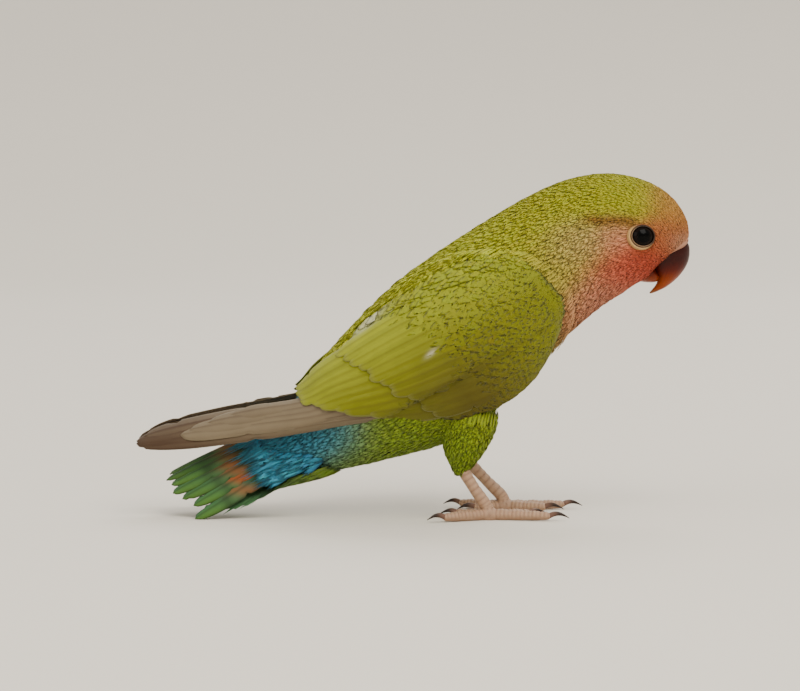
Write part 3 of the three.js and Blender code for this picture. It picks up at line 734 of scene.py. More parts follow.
def coat_piece(name, spots, shape, colours, tile, length, half, finish, slot, *nodes):
    """One piece from laid feathers. tile is each root's place on the skin's unwrap."""
    corners, faces = shape
    count, n = spots.shape[:2]
    triangles = (faces[None] + (np.arange(count) * n)[:, None, None]).reshape(-1, 3)
    upper = np.tile(~(faces == n - 1).any(1), count)
    local = (corners[:, :2] - [0.5, 0.0])[:, ::-1] * [PATCH_SIZE / 2, PATCH_SIZE]
    own = np.stack([corners[:, 1] * half[:, None], corners[:, 0] * length[:, None]], -1)
    maps = ((tile[:, None] + local).reshape(-1, 2), own.reshape(-1, 2))
    mesh = array_mesh(name, spots.reshape(-1, 3), triangles, upper, colours.reshape(-1, 3), maps, finish)
    settle(show(name, mesh), slot, *nodes)


def feather_colours(base, shape, rng, edge=0.04, root=0.08, vary=0.05):
    """Each feather's colour with its own small difference, darker at the root as painted shade where the
    feathers above cover it, and a little lighter at the tip.
    """
    each = 1 + vary * rng.standard_normal((len(base), 1, 1))
    warm = 1 + 0.5 * vary * rng.standard_normal((len(base), 1, 3))
    # painted shade: darker towards the root, which lies under the feathers above
    level = mix(1 - root, 1 + edge, ease(shape[0][:, 0], 0.0, 0.9))[None, :, None]
    return np.clip(base[:, None] * each * warm * level, 0, 1)


print("coat tools ready")

# %% [markdown]
# ## Which way the feathers point
#
# Over most of the bird they point back to the tail. On the face they start at the bill and spread from
# it, and they part round the eye as water parts round a stone.

# %% The lie of the coat
EYE = np.array([59.8, 0.0, 70.4])
BILL_ROOT = np.array([70.0, 0.0, 65.0])
EYE_REACH = 4.3  # within this distance, in mm, the feathers part round the eye


def body_heading(u, v):
    """The direction of the feathers at places of the body."""
    point, along, _, _ = body_lie.at(u, v)
    from_bill = unit((point - BILL_ROOT) * [1, 1.2, 1])
    heading = unit(mix(-unit(along), from_bill, (0.85 * ease(u, 15.5, 19.5))[:, None]))
    away = (point - EYE) * [1, 0, 1]
    far = np.maximum(np.linalg.norm(away, axis=-1, keepdims=True), 1e-6)
    ray = away / far
    pull = (EYE_REACH / np.maximum(far, EYE_REACH)) ** 2 * (np.abs(point[:, 1:2]) > 4)
    heading = heading - 0.85 * pull * np.minimum((heading * ray).sum(-1, keepdims=True), 0) * ray
    return point, unit(heading)


print("heading at the cheek:", np.round(body_heading(np.array([18.0]), np.array([1.8]))[1], 2))

# %% Even spacing
def scatter(lie, reach, gap, rng, keep=None):
    """Roots spread evenly over a closed surface. gap is the least distance in mm at its two ends."""

    def throw(count):
        u, v = rng.uniform(*reach, count), rng.uniform(0, 2 * np.pi, count)
        point, along, across, _ = lie.at(u, v)
        gaps = np.interp(u, reach, gap)
        return u, v, point, gaps, np.linalg.norm(np.cross(along, across), axis=-1) / gaps**2

    most = throw(20000)[4].max()
    u, v, point, gaps, want = throw(int(6 * (reach[1] - reach[0]) * 2 * np.pi * most))
    kept = rng.random(len(u)) < want / most
    if keep:
        kept &= keep(point, u, v)
    u, v, point, gaps = u[kept], v[kept], point[kept], gaps[kept]
    tree = KDTree(len(u))
    for i, spot in enumerate(point):
        tree.insert(spot, i)
    tree.balance()
    free, chosen = np.ones(len(u), bool), []
    for i, spot in enumerate(point):
        if free[i]:
            chosen.append(i)
            for _, j, _ in tree.find_range(spot, gaps[i]):
                free[j] = False
    return u[chosen], v[chosen]


print("spacing ready")

# %% [markdown]
# ## Where the wing lies
#
# The wing's outer face is drawn as ribs from the bend to the tip. Its outline is needed before the
# body is feathered, because most of the flank is hidden under it.

# %% Ribs of the wing
# Upper edge x and z, middle x and z, lower edge x and z, then how far out the three lie when free.
RIBS = [
    [39.3, 58.0, 41.0, 52.8, 39.0, 46.0, 13.0, 14.0, 13.0],
    [33.0, 63.5, 38.0, 52.8, 36.3, 40.5, 15.0, 17.0, 15.0],
    [25.0, 65.3, 31.3, 50.3, 31.3, 33.8, 15.0, 20.0, 16.0],
    [15.5, 63.5, 22.5, 46.5, 23.8, 29.0, 14.0, 21.0, 17.0],
    [6.3, 58.5, 13.0, 42.8, 15.5, 26.5, 12.0, 21.0, 17.0],
    [-3.0, 52.5, 3.8, 38.5, 7.5, 25.5, 9.5, 20.0, 17.0],
    [-12.0, 45.0, -5.5, 34.5, -1.0, 25.3, 8.0, 18.0, 16.0],
    [-19.5, 38.3, -14.5, 31.5, -10.5, 24.3, 6.0, 15.5, 15.5],
    [-25.5, 32.6, -23.0, 28.0, -21.0, 23.0, 4.6, 13.0, 14.5],
    [-34.5, 30.3, -33.0, 26.0, -31.5, 21.5, 3.6, 10.3, 12.8],
    [-43.8, 28.3, -42.5, 24.3, -41.5, 20.2, 3.1, 8.6, 11.3],
    [-53.0, 25.8, -52.3, 22.3, -51.5, 18.8, 2.9, 7.2, 9.6],
    [-60.5, 23.3, -60.0, 20.8, -59.5, 18.2, 3.0, 6.2, 8.2],
    [-65.8, 20.6, -66.0, 19.5, -65.6, 18.4, 4.0, 5.4, 6.8],
]


def off_wing(point):
    """False well inside the outline of the folded wing, where a body feather would not show."""
    ribs = np.array(RIBS[8::-1])
    top = np.interp(point[:, 0], ribs[:, 0], ribs[:, 1])
    low = np.interp(point[:, 0], ribs[:, 4], ribs[:, 5])
    hidden = (point[:, 2] < top - 2.5) & (point[:, 2] > low + 3.5)
    return ~hidden | (point[:, 0] > 36) | (point[:, 0] < -18)


print("ribs:", len(RIBS))

# %% [markdown]
# ## The coat of the body
#
# The body is feathered in fields, each with its own size of feather: tiny on the head, fine and soft on
# neck and breast, longer on back and belly, and loose under the tail. Roots under the folded wing and
# inside the eye ring or the bill are left out, because nothing would show there.

# %% Laying a field of the coat
CERE_BACK, CERE_HALF_TURN = 20.35, 0.52 * np.pi  # where the cere starts, and how far round it reaches


def cell_tile(cell, round_share, along_share):
    """A root's place on its part of the skin's unwrap."""
    low_u, low_v, high_u, high_v = cell
    return np.stack([mix(low_u, high_u, round_share % 1), mix(low_v, high_v, np.clip(along_share, 0, 1))], -1)


def clear_of_face(point, u, v):
    """True for roots outside the eye ring and the cere."""
    off_eye = np.hypot(point[:, 0] - EYE[0] + 0.25, 1.08 * (point[:, 2] - EYE[2] + 0.2)) > 3.1
    on_cere = (u > CERE_BACK + 0.18) & (np.minimum(v, 2 * np.pi - v) < CERE_HALF_TURN)
    return (off_eye | (np.abs(point[:, 1]) < 4)) & ~on_cere


def body_field(
    name, seed, reach, gap, length, half, shape, thick, slot, wanted=off_wing, raised=0.0, sweep=0.0
):
    """Feathers over part of the body. gap, length and half width are in mm at its two ends."""

    def keep(point, u, v):
        return clear_of_face(point, u, v) & wanted(point)

    rng = np.random.default_rng(seed)
    u, v = scatter(body_lie, reach, gap, rng, keep)
    point, heading = body_heading(u, v)
    aside = np.stack([0 * u, np.sign(point[:, 1]), 0 * u - 0.6], -1)
    heading = heading + 0.07 * rng.standard_normal((len(u), 3)) + sweep * aside
    scale = 1 + 0.1 * rng.standard_normal(len(u))
    length, half = (np.interp(u, reach, size) * scale for size in (length, half))
    depth = coat_depth(u)[:, None]
    lift = (-0.2 * depth, depth + raised)
    spots = lay(body_lie, u, v, heading, length, half, shape, lift, thick, rng, droop=0.06)
    colours = feather_colours(body_markings(spots.mean(1)), shape, rng)
    tile = cell_tile(BODY_CELL, v / (2 * np.pi), u / FACE_END)
    coat_piece(name, spots, shape, colours, tile, length, half, DOWNY, slot)

# %% The fields of the coat
# Name and seed, the sections it spans, at both of its ends the gap, length and half width in mm, then the
# kind of feather and its thickness.
for *sizes, shape, thick in (
    ("face_feathers", 3, (18.2, FACE_END + 0.2), (0.3, 0.24), (2.2, 1.2), (0.22, 0.16), VELVET, 0.05),
    ("crown_feathers", 4, (15.0, 18.4), (0.34, 0.28), (3.0, 2.2), (0.28, 0.21), VELVET, 0.05),
    ("neck_feathers", 5, (11.0, 15.2), (0.6, 0.42), (4.2, 3.0), (0.48, 0.3), SOFT, 0.06),
    ("body_feathers", 6, (5.4, 11.2), (0.62, 0.55), (5.6, 4.2), (0.65, 0.48), SOFT, 0.08),
    ("rump_feathers", 7, (0.1, 5.6), (0.55, 0.62), (6.5, 5.6), (0.45, 0.65), SOFT, 0.08),
):
    body_field(*sizes, shape, thick, "face_feathers" if shape is VELVET else "body_feathers")

# %% [markdown]
# ## Feathers over the wing's front edge
#
# Longer feathers of the shoulder and breast hang over the bend of the wing, and those of the mantle
# over its upper edge, so that the wing seems to grow out of the coat.

# %% Shoulder and mantle feathers
SHOULDER_LINE = [[29, 64.8], [33, 63.5], [39.3, 58], [41, 52.8], [39, 46], [37, 42.5]]
WING_TOP_LINE = [row[:2] for row in RIBS[1:9]]


def near_line(table, outward, reach, inside):
    """A test for places in a narrow band along a line of the side view, mostly on its outer side."""
    line = between(table, np.linspace(0, len(table) - 1, 140))

    def test(point):
        gaps = point[:, None, [0, 2]] - line[None]
        off = gaps[np.arange(len(point)), np.argmin((gaps**2).sum(-1), 1)]
        outside = off @ np.array(outward) > -inside
        return (np.linalg.norm(off, axis=-1) < reach) & outside & (np.abs(point[:, 1]) > 7)

    return test


near_shoulder = near_line(SHOULDER_LINE, (0.8, 0.6), 2.4, 1.2)
near_wing_top = near_line(WING_TOP_LINE, (-0.55, 0.83), 2.6, 1.0)
for *field, wanted, sweep in (
    ("shoulder_feathers", 8, (9.0, 15.0), (0.3, 0.28), (5.0, 4.2), (0.32, 0.28), near_shoulder, 0.0),
    ("mantle_feathers", 9, (4.0, 12.5), (0.42, 0.42), (6.5, 6.0), (0.5, 0.42), near_wing_top, 0.3),
):
    body_field(*field, SOFT, 0.05, "body_feathers", wanted, 1.3, sweep)

# %% [markdown]
# ## Thigh feathers
#
# They point down to the heel, and the last of them hang over the top of the bare shank.

# %% Feathering the thighs
def thigh_surface(side):
    return lambda place, turn: limb_point(THIGH, side, place, turn, -THIGH_DEPTH)


for word, side in SIDES.items():
    rng = np.random.default_rng(20 + side)
    lie = Lie(thigh_surface(side), (0.0, 3.3), (0, 2 * np.pi), (120, 181))
    u, v = scatter(lie, (0.1, 3.0), (0.55, 0.55), rng)
    heading = unit(lie.at(u, v)[1]) + 0.1 * rng.standard_normal((len(u), 3)) + np.array([-0.25, 0, 0])
    scale = 1 + 0.1 * rng.standard_normal(len(u))
    length, half = 3.8 * scale, 0.48 * scale
    spots = lay(lie, u, v, heading, length, half, SOFT, (-0.25, THIGH_DEPTH), 0.08, rng, droop=0.08)
    colours = feather_colours(body_markings(spots.mean(1)), SOFT, rng)
    tile = cell_tile(THIGH_CELLS[word], v / (2 * np.pi), u / 3)
    coat_piece(f"thigh_feathers_{word}", spots, SOFT, colours, tile, length, half, DOWNY, "body_feathers")

# %% [markdown]
# ## The folded wing
#
# Where the body is near, the wing lies on the flank, and further back it runs free over the tail.

# %% The wing's surface
WING_PAD, WING_EDGE = 2.6, 1.25  # how far the wing stands off the flank, at its middle and its edges


def across_three(start, middle, end, share):
    """A place on the curve through three points, at a share of the way."""
    a, m, b = (1 - share) * (1 - 2 * share), 4 * share * (1 - share), share * (2 * share - 1)
    return a * start + m * middle + b * end


def wing_surface(side):
    def point_of(rib, down):
        ax, az, mx, mz, bx, bz, ay, my, by = np.moveaxis(between(RIBS, rib), -1, 0)
        x, z, free = (across_three(*line, down) for line in ((ax, mx, bx), (az, mz, bz), (ay, my, by)))
        crown = np.sin(np.pi * np.clip(down, 0, 1)) ** 0.7 * ease(rib, 0, 1.4)
        on_body = flank(x, z, mix(WING_EDGE, WING_PAD, crown))
        blend = np.clip(0.5 + (on_body - free) / 3, 0, 1)
        return np.stack([x, side * (mix(free, on_body, blend) + 1.5 * blend * (1 - blend)), z], -1)

    return point_of


wing_lies = {}
for word, side in SIDES.items():
    wing_lies[word] = Lie(wing_surface(side), (-0.6, 13.4), (-0.06, 1.06), (560, 141), (0, side, 0))
print("wing surfaces:", {word: lie.grids[0].shape[:2] for word, lie in wing_lies.items()})

# %% [markdown]
# ## A long feather
#
# Flight and tail feathers are stiff vanes with a clear shaft. Each is a closed strip with a rounded
# section. It keeps its own width on both sides of the shaft, and small splits run in from its edges,
# where the barbs have come apart.


# %% Drawing a long feather
QUILL_ROWS, QUILL_HALF = 34, 4
QUILL_COLUMNS = 2 * QUILL_HALF + 1
SHAFT_HEIGHT, SHAFT_WIDTH = 0.22, 0.12  # in mm at the root, and as a share of the half width


def quill(lie, root, tip, half, lifts, rng, narrow=1.0, thick=0.34, taper=0.35, splits=2, camber=0.35):
    """A long feather's corners for both faces, and its own plane in mm across and along.

    root and tip are places on the surface. narrow is how much of the half width the leading vane has,
    taper the share of the length over which the tip closes, and camber the height of its middle.
    """
    f, c = np.linspace(0, 1, QUILL_ROWS) ** 0.85, np.linspace(-1, 1, QUILL_COLUMNS)
    ff, cc = np.meshgrid(f, c, indexing="ij")
    tip_share = np.sqrt(np.clip(1 - ((ff - (1 - taper)) / taper).clip(0, 1) ** 2.2, 0, 1))
    share = np.minimum(0.45 + 1.6 * ff, 1) * tip_share
    for _ in range(splits):
        at, edge, deep = rng.uniform(0.35, 0.95), rng.choice([-1, 1]), rng.uniform(0.15, 0.45)
        share = share * (1 - deep * bell(ff - at, 0.02) * (cc * edge > 0.6))
    reach = cc * share * half * np.where(cc < 0, narrow, 1.0)
    u, v = (mix(start, end, ff) for start, end in zip(root, tip))
    _, along, across, normal = lie.at(u, v)
    forward = along * (tip[0] - root[0]) + across * (tip[1] - root[1])
    du, dv = steps_for(unit(np.cross(normal, forward)), along, across)
    spot, _, _, up = lie.at(u + reach * du, v + reach * dv)
    shaft = SHAFT_HEIGHT * bell(cc, SHAFT_WIDTH) * (1 - 0.8 * ff)
    rise = mix(lifts[0], lifts[1], np.minimum(1, 1.25 * ff)) + camber * (1 - cc**2) * share
    body = thick * np.sqrt(np.clip(1 - cc**2, 0.02, 1)) / 2
    upper = spot + (rise + body + shaft)[..., None] * up
    lower = spot + (rise - body)[..., None] * up
    length = np.linalg.norm(spot[-1, QUILL_HALF] - spot[0, QUILL_HALF])
    return np.stack([upper, lower]), np.stack([cc * half, ff * length], -1)


def strip_faces():
    """Four-sided faces of a closed strip: its upper face, its under face and its rim."""
    top, low = np.arange(2 * QUILL_ROWS * QUILL_COLUMNS).reshape(2, QUILL_ROWS, QUILL_COLUMNS)
    upper = np.stack([top[:-1, :-1], top[1:, :-1], top[1:, 1:], top[:-1, 1:]], -1)
    under = np.stack([low[:-1, :-1], low[:-1, 1:], low[1:, 1:], low[1:, :-1]], -1)
    rim = np.concatenate([top[0], top[1:, -1], top[-1, -2::-1], top[-2:0:-1, 0]])
    below = rim + QUILL_ROWS * QUILL_COLUMNS
    edge = np.stack([rim, np.roll(rim, -1), np.roll(below, -1), below], -1)
    return np.concatenate([f.reshape(-1, 4) for f in (upper, under, edge)])


STRIP = strip_faces()
print("faces of a long feather:", len(STRIP))

# %% Long feathers as one mesh
VANE_ALONG = np.linspace(0, 1, QUILL_ROWS)[:, None]
VANE_ACROSS = np.linspace(-1, 1, QUILL_COLUMNS)[None, :]


def on_vane(pattern):
    """A pattern for each corner of a long feather's face, ready to mix colours with."""
    return np.broadcast_to(pattern, (QUILL_ROWS, QUILL_COLUMNS))[..., None]


def quill_piece(name, made, shades, slot, *nodes):
    """One piece from long feathers and the colours of their two faces. Each has its own cell of the map."""
    n = 2 * QUILL_ROWS * QUILL_COLUMNS
    spots = np.concatenate([points.reshape(-1, 3) for points, _ in made])
    faces = np.concatenate([STRIP + i * n for i in range(len(made))])
    ff, cc = np.meshgrid(np.linspace(0, 1, QUILL_ROWS), np.linspace(0, 1, QUILL_COLUMNS), indexing="ij")
    edges = np.linspace(0.01, 0.99, len(made) + 1)
    own, tiles = [], []
    for (_, plane), low_u, high_u in zip(made, edges[:-1] + 0.002, edges[1:] - 0.002):
        own += [plane.reshape(-1, 2)] * 2
        middle = (low_u + high_u) / 2
        for a, b in ((low_u, middle - 0.001), (middle + 0.001, high_u)):
            tiles.append(np.stack([mix(a, b, cc), mix(0.02, 0.98, ff)], -1).reshape(-1, 2))
    smooth = np.tile(np.arange(len(STRIP)) < 4 * (QUILL_ROWS - 1) * QUILL_HALF, len(made))
    colours = np.concatenate([shade.reshape(-1, 3) for shade in shades])
    maps = (np.concatenate(tiles), np.concatenate(own))
    mesh = array_mesh(name, spots, faces, smooth, colours, maps, FLIGHT)
    with edited(mesh) as bm:
        bmesh.ops.recalc_face_normals(bm, faces=bm.faces)
    settle(show(name, mesh), slot, *nodes)


print("cell of a vane's face:", VANE_ALONG.shape[0], "by", VANE_ACROSS.shape[1], "corners")

# %% [markdown]
# ## Flight feathers
#
# The primaries are long, pale grey-brown and lie on each other like a closed fan, with the longest at
# the tip. The secondaries and the innermost wing feathers are greener and end in a rounded, stepped
# edge on the back.

# %% Wing colours
WING = {
    "primary": paint("71644f"),
    "primary_dark": paint("433122"),
    "covert": paint("686a10"),
    # brown of the coverts, also used as painted shade low on the wing
    "covert_brown_and_shade": paint("4c4207"),
    "mantle": paint("848a18"),
    "pale_edge": paint("878750"),
    "pale_spot": paint("c9c2ac"),
}
# Pale feathers on the wing: middle x and z, reach along and across the feathers.
PALE_SPOTS = [(7.6, 42.5, 1.5, 0.55), (-7.0, 49.9, 4.6, 0.8)]


def wing_markings(points):
    """Yellow-green along the back and browner towards the lower front, partly the real colour and partly
    painted light: lighter on top, with painted shade low on the wing. Two pale spots.
    """
    x, z = points[..., 0], points[..., 2]
    # painted shade: the brown patch low on the wing's front is partly real brown and partly painted shade
    brown_and_shade = 0.85 * bell(x - 19, 16) * bell(z - 31, 12)
    # painted light: the wing is painted lighter towards the back, on top where the light falls
    colour = mix(WING["covert"], WING["mantle"], ease(z - 0.72 * x - 44, -14, 8)[..., None])
    colour = mix(colour, WING["covert_brown_and_shade"], brown_and_shade[..., None])
    for px, pz, long, wide in PALE_SPOTS:
        along, across = 0.75 * (x - px) + 0.66 * (z - pz), 0.75 * (z - pz) - 0.66 * (x - px)
        spot = 0.6 * bell(along, long) * bell(across, wide)
        colour = mix(colour, WING["pale_spot"], spot[..., None])
    return colour


print("wing paints:", ", ".join(WING))

# %% Primaries
# From the outermost inwards: root and tip as rib and share down, half width, and how grey-brown it is.
PRIMARIES = [
    ((5.6, 0.95), (12.70, 0.86), 2.2, 0.9),
    ((5.8, 0.88), (12.98, 0.64), 2.5, 1.0),
    ((6.0, 0.60), (12.95, 0.46), 3.1, 0.9),
    ((6.1, 0.32), (12.55, 0.32), 3.2, 0.7),
    ((6.2, 0.76), (11.30, 0.62), 2.9, 0.0),
    ((6.3, 0.62), (11.00, 0.52), 3.0, 0.1),
    ((6.4, 0.48), (10.50, 0.43), 3.0, 0.15),
    ((6.5, 0.36), (9.90, 0.36), 2.7, 0.2),
]
for word, side in SIDES.items():
    rng = np.random.default_rng(40 + side)
    made, shades = [], []
    for i, (root, tip, half, dark) in enumerate(PRIMARIES):
        lifts = (-1.0, -1.3 + 0.22 * i)
        made.append(quill(wing_lies[word], root, tip, half, lifts, rng, narrow=0.8, taper=0.22))
        browner = dark * ease(VANE_ALONG, 0.1, 0.9) + 0.25 * ease(VANE_ACROSS, 0.3, 1.0)
        browner = browner + 0.4 * bell(VANE_ACROSS, 0.13) - 0.5 * ease(np.abs(VANE_ACROSS), 0.85, 1.0)
        shade = mix(WING["primary"], WING["primary_dark"], on_vane(np.clip(browner, -0.3, 1)))
        shade = shade * (1 + 0.04 * rng.standard_normal())
        # the under face is painted lighter, painted light against the shade it lies in
        shades += [shade, shade * 1.1]
    quill_piece(f"primaries_{word}", made, shades, "wing_feathers", f"wing_{word}")

# %% Secondaries and greater coverts
ROW_PLACES = [0.0, 0.3, 0.6, 0.8, 1.0]  # shares down from the back, at which a row's tips are given


def green_row(name, word, count, tips, reach, half, lifts, rng):
    """A row of green feathers from the wing's lower edge up to the back."""
    made, shades = [], []
    for i in range(count):
        down = mix(0.93, 0.05, i / (count - 1))
        tip = (np.interp(down, ROW_PLACES, tips) + 0.09 * rng.standard_normal(), down)
        root = (tip[0] - reach, mix(0.5, down, 0.9))
        heights = (lifts[0], lifts[1] + lifts[2] * i)
        made.append(quill(wing_lies[word], root, tip, half, heights, rng, narrow=0.9, taper=0.3, camber=0.18))
        edge = 0.5 * ease(np.abs(VANE_ACROSS), 0.75, 1.0) + 0.35 * ease(VANE_ALONG, 0.9, 1.0)
        shade = mix(wing_markings(made[-1][0][0]), WING["pale_edge"], on_vane(np.clip(edge, 0, 1)))
        shade = mix(shade, WING["covert_brown_and_shade"], on_vane(0.35 * bell(VANE_ACROSS, SHAFT_WIDTH)))
        shade = shade * (1 + 0.05 * rng.standard_normal())
        shades += [shade, shade]
    quill_piece(name, made, shades, "wing_feathers", f"wing_{word}")


for word, side in SIDES.items():
    rng = np.random.default_rng(50 + side)
    for name, *row in (
        ("secondaries", 10, [8.2, 8.05, 7.5, 6.9, 6.0], 3.2, 3.0, (-0.8, 0.0, 0.07)),
        ("greater_coverts", 13, [6.5, 6.3, 5.8, 5.3, 4.6], 2.4, 2.3, (-0.6, 0.3, 0.03)),
    ):
        green_row(f"{name}_{word}", word, *row, rng)

# %% [markdown]
# ## Coverts
#
# The coverts are small rounded feathers in rows. They grow from the bend of the wing back to the
# secondaries, each row larger than the one before, and the scapulars cover the wing's upper edge.

# %% Rows of coverts
LAST_RIB = 4.7  # of the small coverts
BACK = unit(np.array([-0.85, 0.0, -0.5]))
SCAPULARS = 90


def covert_rows(lie, rng):
    """Roots of the small coverts in staggered rows, and how wide each row's feathers are, in mm."""
    u, v, size = [], [], []
    rib, row = 0.15, 0
    while rib < LAST_RIB:
        gap = np.interp(rib, [0, 2, LAST_RIB], [1.1, 1.7, 3.0])
        width = np.interp(rib, [0, 2, LAST_RIB], [1.2, 1.7, 2.8])
        ends = lie.at(np.array([rib, rib]), np.array([0.0, 1.0]))[0]
        count = int(np.linalg.norm(ends[1] - ends[0]) * 1.3 / width)
        downs = (np.arange(count) + 0.5 * (row % 2) + 0.2 * rng.standard_normal(count)) / max(count - 0.5, 1)
        bend = 0.8 * ease(rib, 1.5, 4.0) * np.clip(downs, 0, 1) ** 2.2
        u.append(rib - bend + 0.06 * rng.standard_normal(count))
        v.append(downs)
        size.append(np.full(count, width))
        rib, row = rib + gap / 13, row + 1
    u, v, size = np.concatenate(u), np.clip(np.concatenate(v), 0.0, 0.97), np.concatenate(size)
    _, along, across, _ = lie.at(u, v)
    square = np.linalg.norm(np.cross(unit(along), unit(across)), axis=-1) > 0.5
    return u[square], v[square], size[square]


def wing_feathers(name, lie, u, v, heading, size, lift, thick, rng, *nodes):
    """Small rounded feathers on the wing as one piece. size is their lengths and half widths in mm."""
    spots = lay(lie, u, v, heading, *size, VANE, lift, thick, rng, fray=0.03, curl=1.4, droop=0.12)
    colours = feather_colours(wing_markings(spots.mean(1)), VANE, rng, edge=0.02, root=0.0, vary=0.04)
    tile = np.stack([np.clip(v, 0, 1), np.clip(u / 13, 0, 1)], -1) * 0.96 + 0.02
    coat_piece(name, spots, VANE, colours, tile, *size, COVERT, "wing_feathers", *nodes)


for word, side in SIDES.items():
    rng = np.random.default_rng(60 + side)
    lie = wing_lies[word]
    u, v, size = covert_rows(lie, rng)
    along = unit(lie.at(u, v)[1])
    heading = mix(along, BACK, 0.7 * (1 - ease(u, 0, 3))[:, None]) + 0.06 * rng.standard_normal(along.shape)
    scale = 1 + 0.06 * rng.standard_normal(len(u))
    sizes = (3.3 * size * scale, 0.62 * size * scale)
    lift = (-0.14, (0.1 + 0.28 * ease(u, 3.0, 4.5))[:, None])
    wing_feathers(f"coverts_{word}", lie, u, v, heading, sizes, lift, 0.03, rng, f"wing_{word}")

    u, v = np.linspace(1.2, 5.6, SCAPULARS), 0.03 + 0.05 * rng.uniform(-1, 1, SCAPULARS)
    _, along, across, _ = lie.at(u, v)
    heading = unit(along) + 0.12 * unit(across) + 0.04 * rng.standard_normal(along.shape)
    scale = np.linspace(0.35, 1.1, SCAPULARS) * (1 + 0.08 * rng.standard_normal(SCAPULARS))
    sizes = (7.5 * scale, 1.3 * scale)
    wing_feathers(f"scapulars_{word}", lie, u, v, heading, sizes, (-0.25, 0.4), 0.04, rng)

# %% The arm under the coverts
def arm_form(lie, side):
    """A pad between the wing's surface and the flank: its outer face, then its inner one."""

    def point_of(u, v):
        share = np.where(u < 0.5, 2 * u, 2 * (1 - u))
        down = mix(0.02, 0.98, share)
        spot, _, _, normal = lie.at(mix(0.3, 7.6 - 1.3 * down**2, v), down)
        out = np.abs(spot[:, 1])
        clear = np.maximum(flank(spot[:, 0], spot[:, 2], 0.3), out - 2.4)
        outer, inner = spot - 0.35 * normal, spot.copy()
        inner[:, 1] = side * np.minimum(clear, out - 0.7)
        closed = (np.sin(np.pi * share) ** 0.3 * pinch(v, 0.03))[:, None]
        return mix((outer + inner) / 2, np.where(u[:, None] < 0.5, outer, inner), closed)

    return point_of


for word, side in SIDES.items():
    form = arm_form(wing_lies[word], side)
    arm = bent_grid(f"arm_{word}", form, 80, 60, (0.02, 0.02, 0.98, 0.98), DOWN_ON_SKIN)
    # the arm is painted darker than the coverts, painted shade under them
    paint_mesh(arm.data, wing_markings(corner_places(arm.data)) * 0.8)
    settle(arm, "wing_feathers", f"wing_{word}")

# %% [markdown]
# ## The tail
#
# Twelve short feathers spread as a fan. Blue coverts hide their roots above and green ones below, and
# orange-red patches show across the fan between the blue and the green.

# %% The fan's surface
# Left edge, ridge and right edge from root to tips, each x, y and z.
FAN = [
    [-22.0, 8.2, 20.8, -25.0, 0.5, 24.0, -20.5, -7.6, 12.6],
    [-33.0, 10.6, 17.0, -34.5, 0.6, 20.2, -31.5, -9.6, 7.6],
    [-43.5, 12.6, 12.2, -45.0, 0.7, 15.2, -42.0, -11.0, 2.4],
    [-54.5, 14.2, 6.8, -57.5, 0.8, 9.0, -52.5, -12.2, -2.9],
]
UNDER_FAN = [
    [-20.0, 7.6, 13.6, -17.0, 0.0, 10.8, -20.0, -7.6, 12.4],
    [-28.5, 8.0, 13.6, -27.0, 0.0, 8.8, -28.0, -7.6, 9.6],
    [-38.0, 9.2, 12.8, -37.0, 0.2, 9.4, -36.0, -8.6, 5.0],
    [-47.5, 11.0, 9.6, -47.0, 0.4, 12.0, -44.5, -10.2, 1.2],
]


def fan_surface(table):
    def point_of(along, across):
        row = between(table, along * (len(table) - 1))
        return across_three(row[..., :3], row[..., 3:6], row[..., 6:], across[..., None])

    return point_of


fan_lie, under_lie = (
    Lie(fan_surface(table), (-0.2, 1.1), (-0.1, 1.1), (260, 121), (0, 0, up))
    for table, up in ((FAN, 1), (UNDER_FAN, -1))
)
print("fan surfaces:", fan_lie.grids[0].shape[:2], under_lie.grids[0].shape[:2])

# %% Tail feathers
TAIL = {
    "blue": paint("2c7690"),
    "green": paint("4a6e20"),
    "teal": paint("295843"),
    "orange": paint("8e4419"),
    "dark": paint("1e2a16"),
}
RECTRICES = 12  # tail feathers, laid over each other from the edges to the middle


def kept_above(spots, height):
    """Places pressed flat where they would sink under a height, in mm over the floor."""
    spots[..., 2] = np.maximum(spots[..., 2], height)
    return spots


rng = np.random.default_rng(70)
made, shades = [], []
for i in sorted(range(RECTRICES), key=lambda i: -abs(2 * i + 1 - RECTRICES)):
    side = (2 * i + 1 - RECTRICES) / (RECTRICES - 1)
    tip = (1.0 - 0.12 * abs(side) ** 1.6 + 0.025 * rng.standard_normal(), 0.5 + 0.44 * side)
    root, lifts = (0.12, 0.5 + 0.37 * side), (-0.2, 0.9 - 1.7 * abs(side))
    made.append(quill(fan_lie, root, tip, 2.3, lifts, rng, taper=0.34, splits=7, thick=0.3))
    kept_above(made[-1][0], 0.03)
    patch = bell(VANE_ALONG - 0.52 + 0.1 * VANE_ACROSS, 0.1) * rng.uniform(0.5, 1.0)
    band = bell(VANE_ALONG - 0.68, 0.05) * rng.uniform(0.2, 0.7)
    # painted shade: each vane darker along its edges towards the tip, for the shade between overlapping
    # feathers
    edge = 0.7 * ease(np.abs(VANE_ACROSS), 0.6, 1.0) * ease(VANE_ALONG, 0.3, 0.6)
    greener = ease(VANE_ALONG, 0.35, 0.9) * (0.6 + 0.4 * VANE_ACROSS)
    shade = mix(mix(TAIL["teal"], TAIL["green"], on_vane(greener)), TAIL["orange"], on_vane(patch))
    # the band and the shaft are the feathers' own dark colour; the dark edges are painted shade
    for dark in (band, edge, 0.5 * bell(VANE_ACROSS, SHAFT_WIDTH)):
        shade = mix(shade, TAIL["dark"], on_vane(dark))
    shade = shade * (1 + 0.1 * rng.standard_normal())
    shades += [shade, shade * 0.7]
quill_piece("tail_feathers", made, shades, "tail_feathers", "tail")

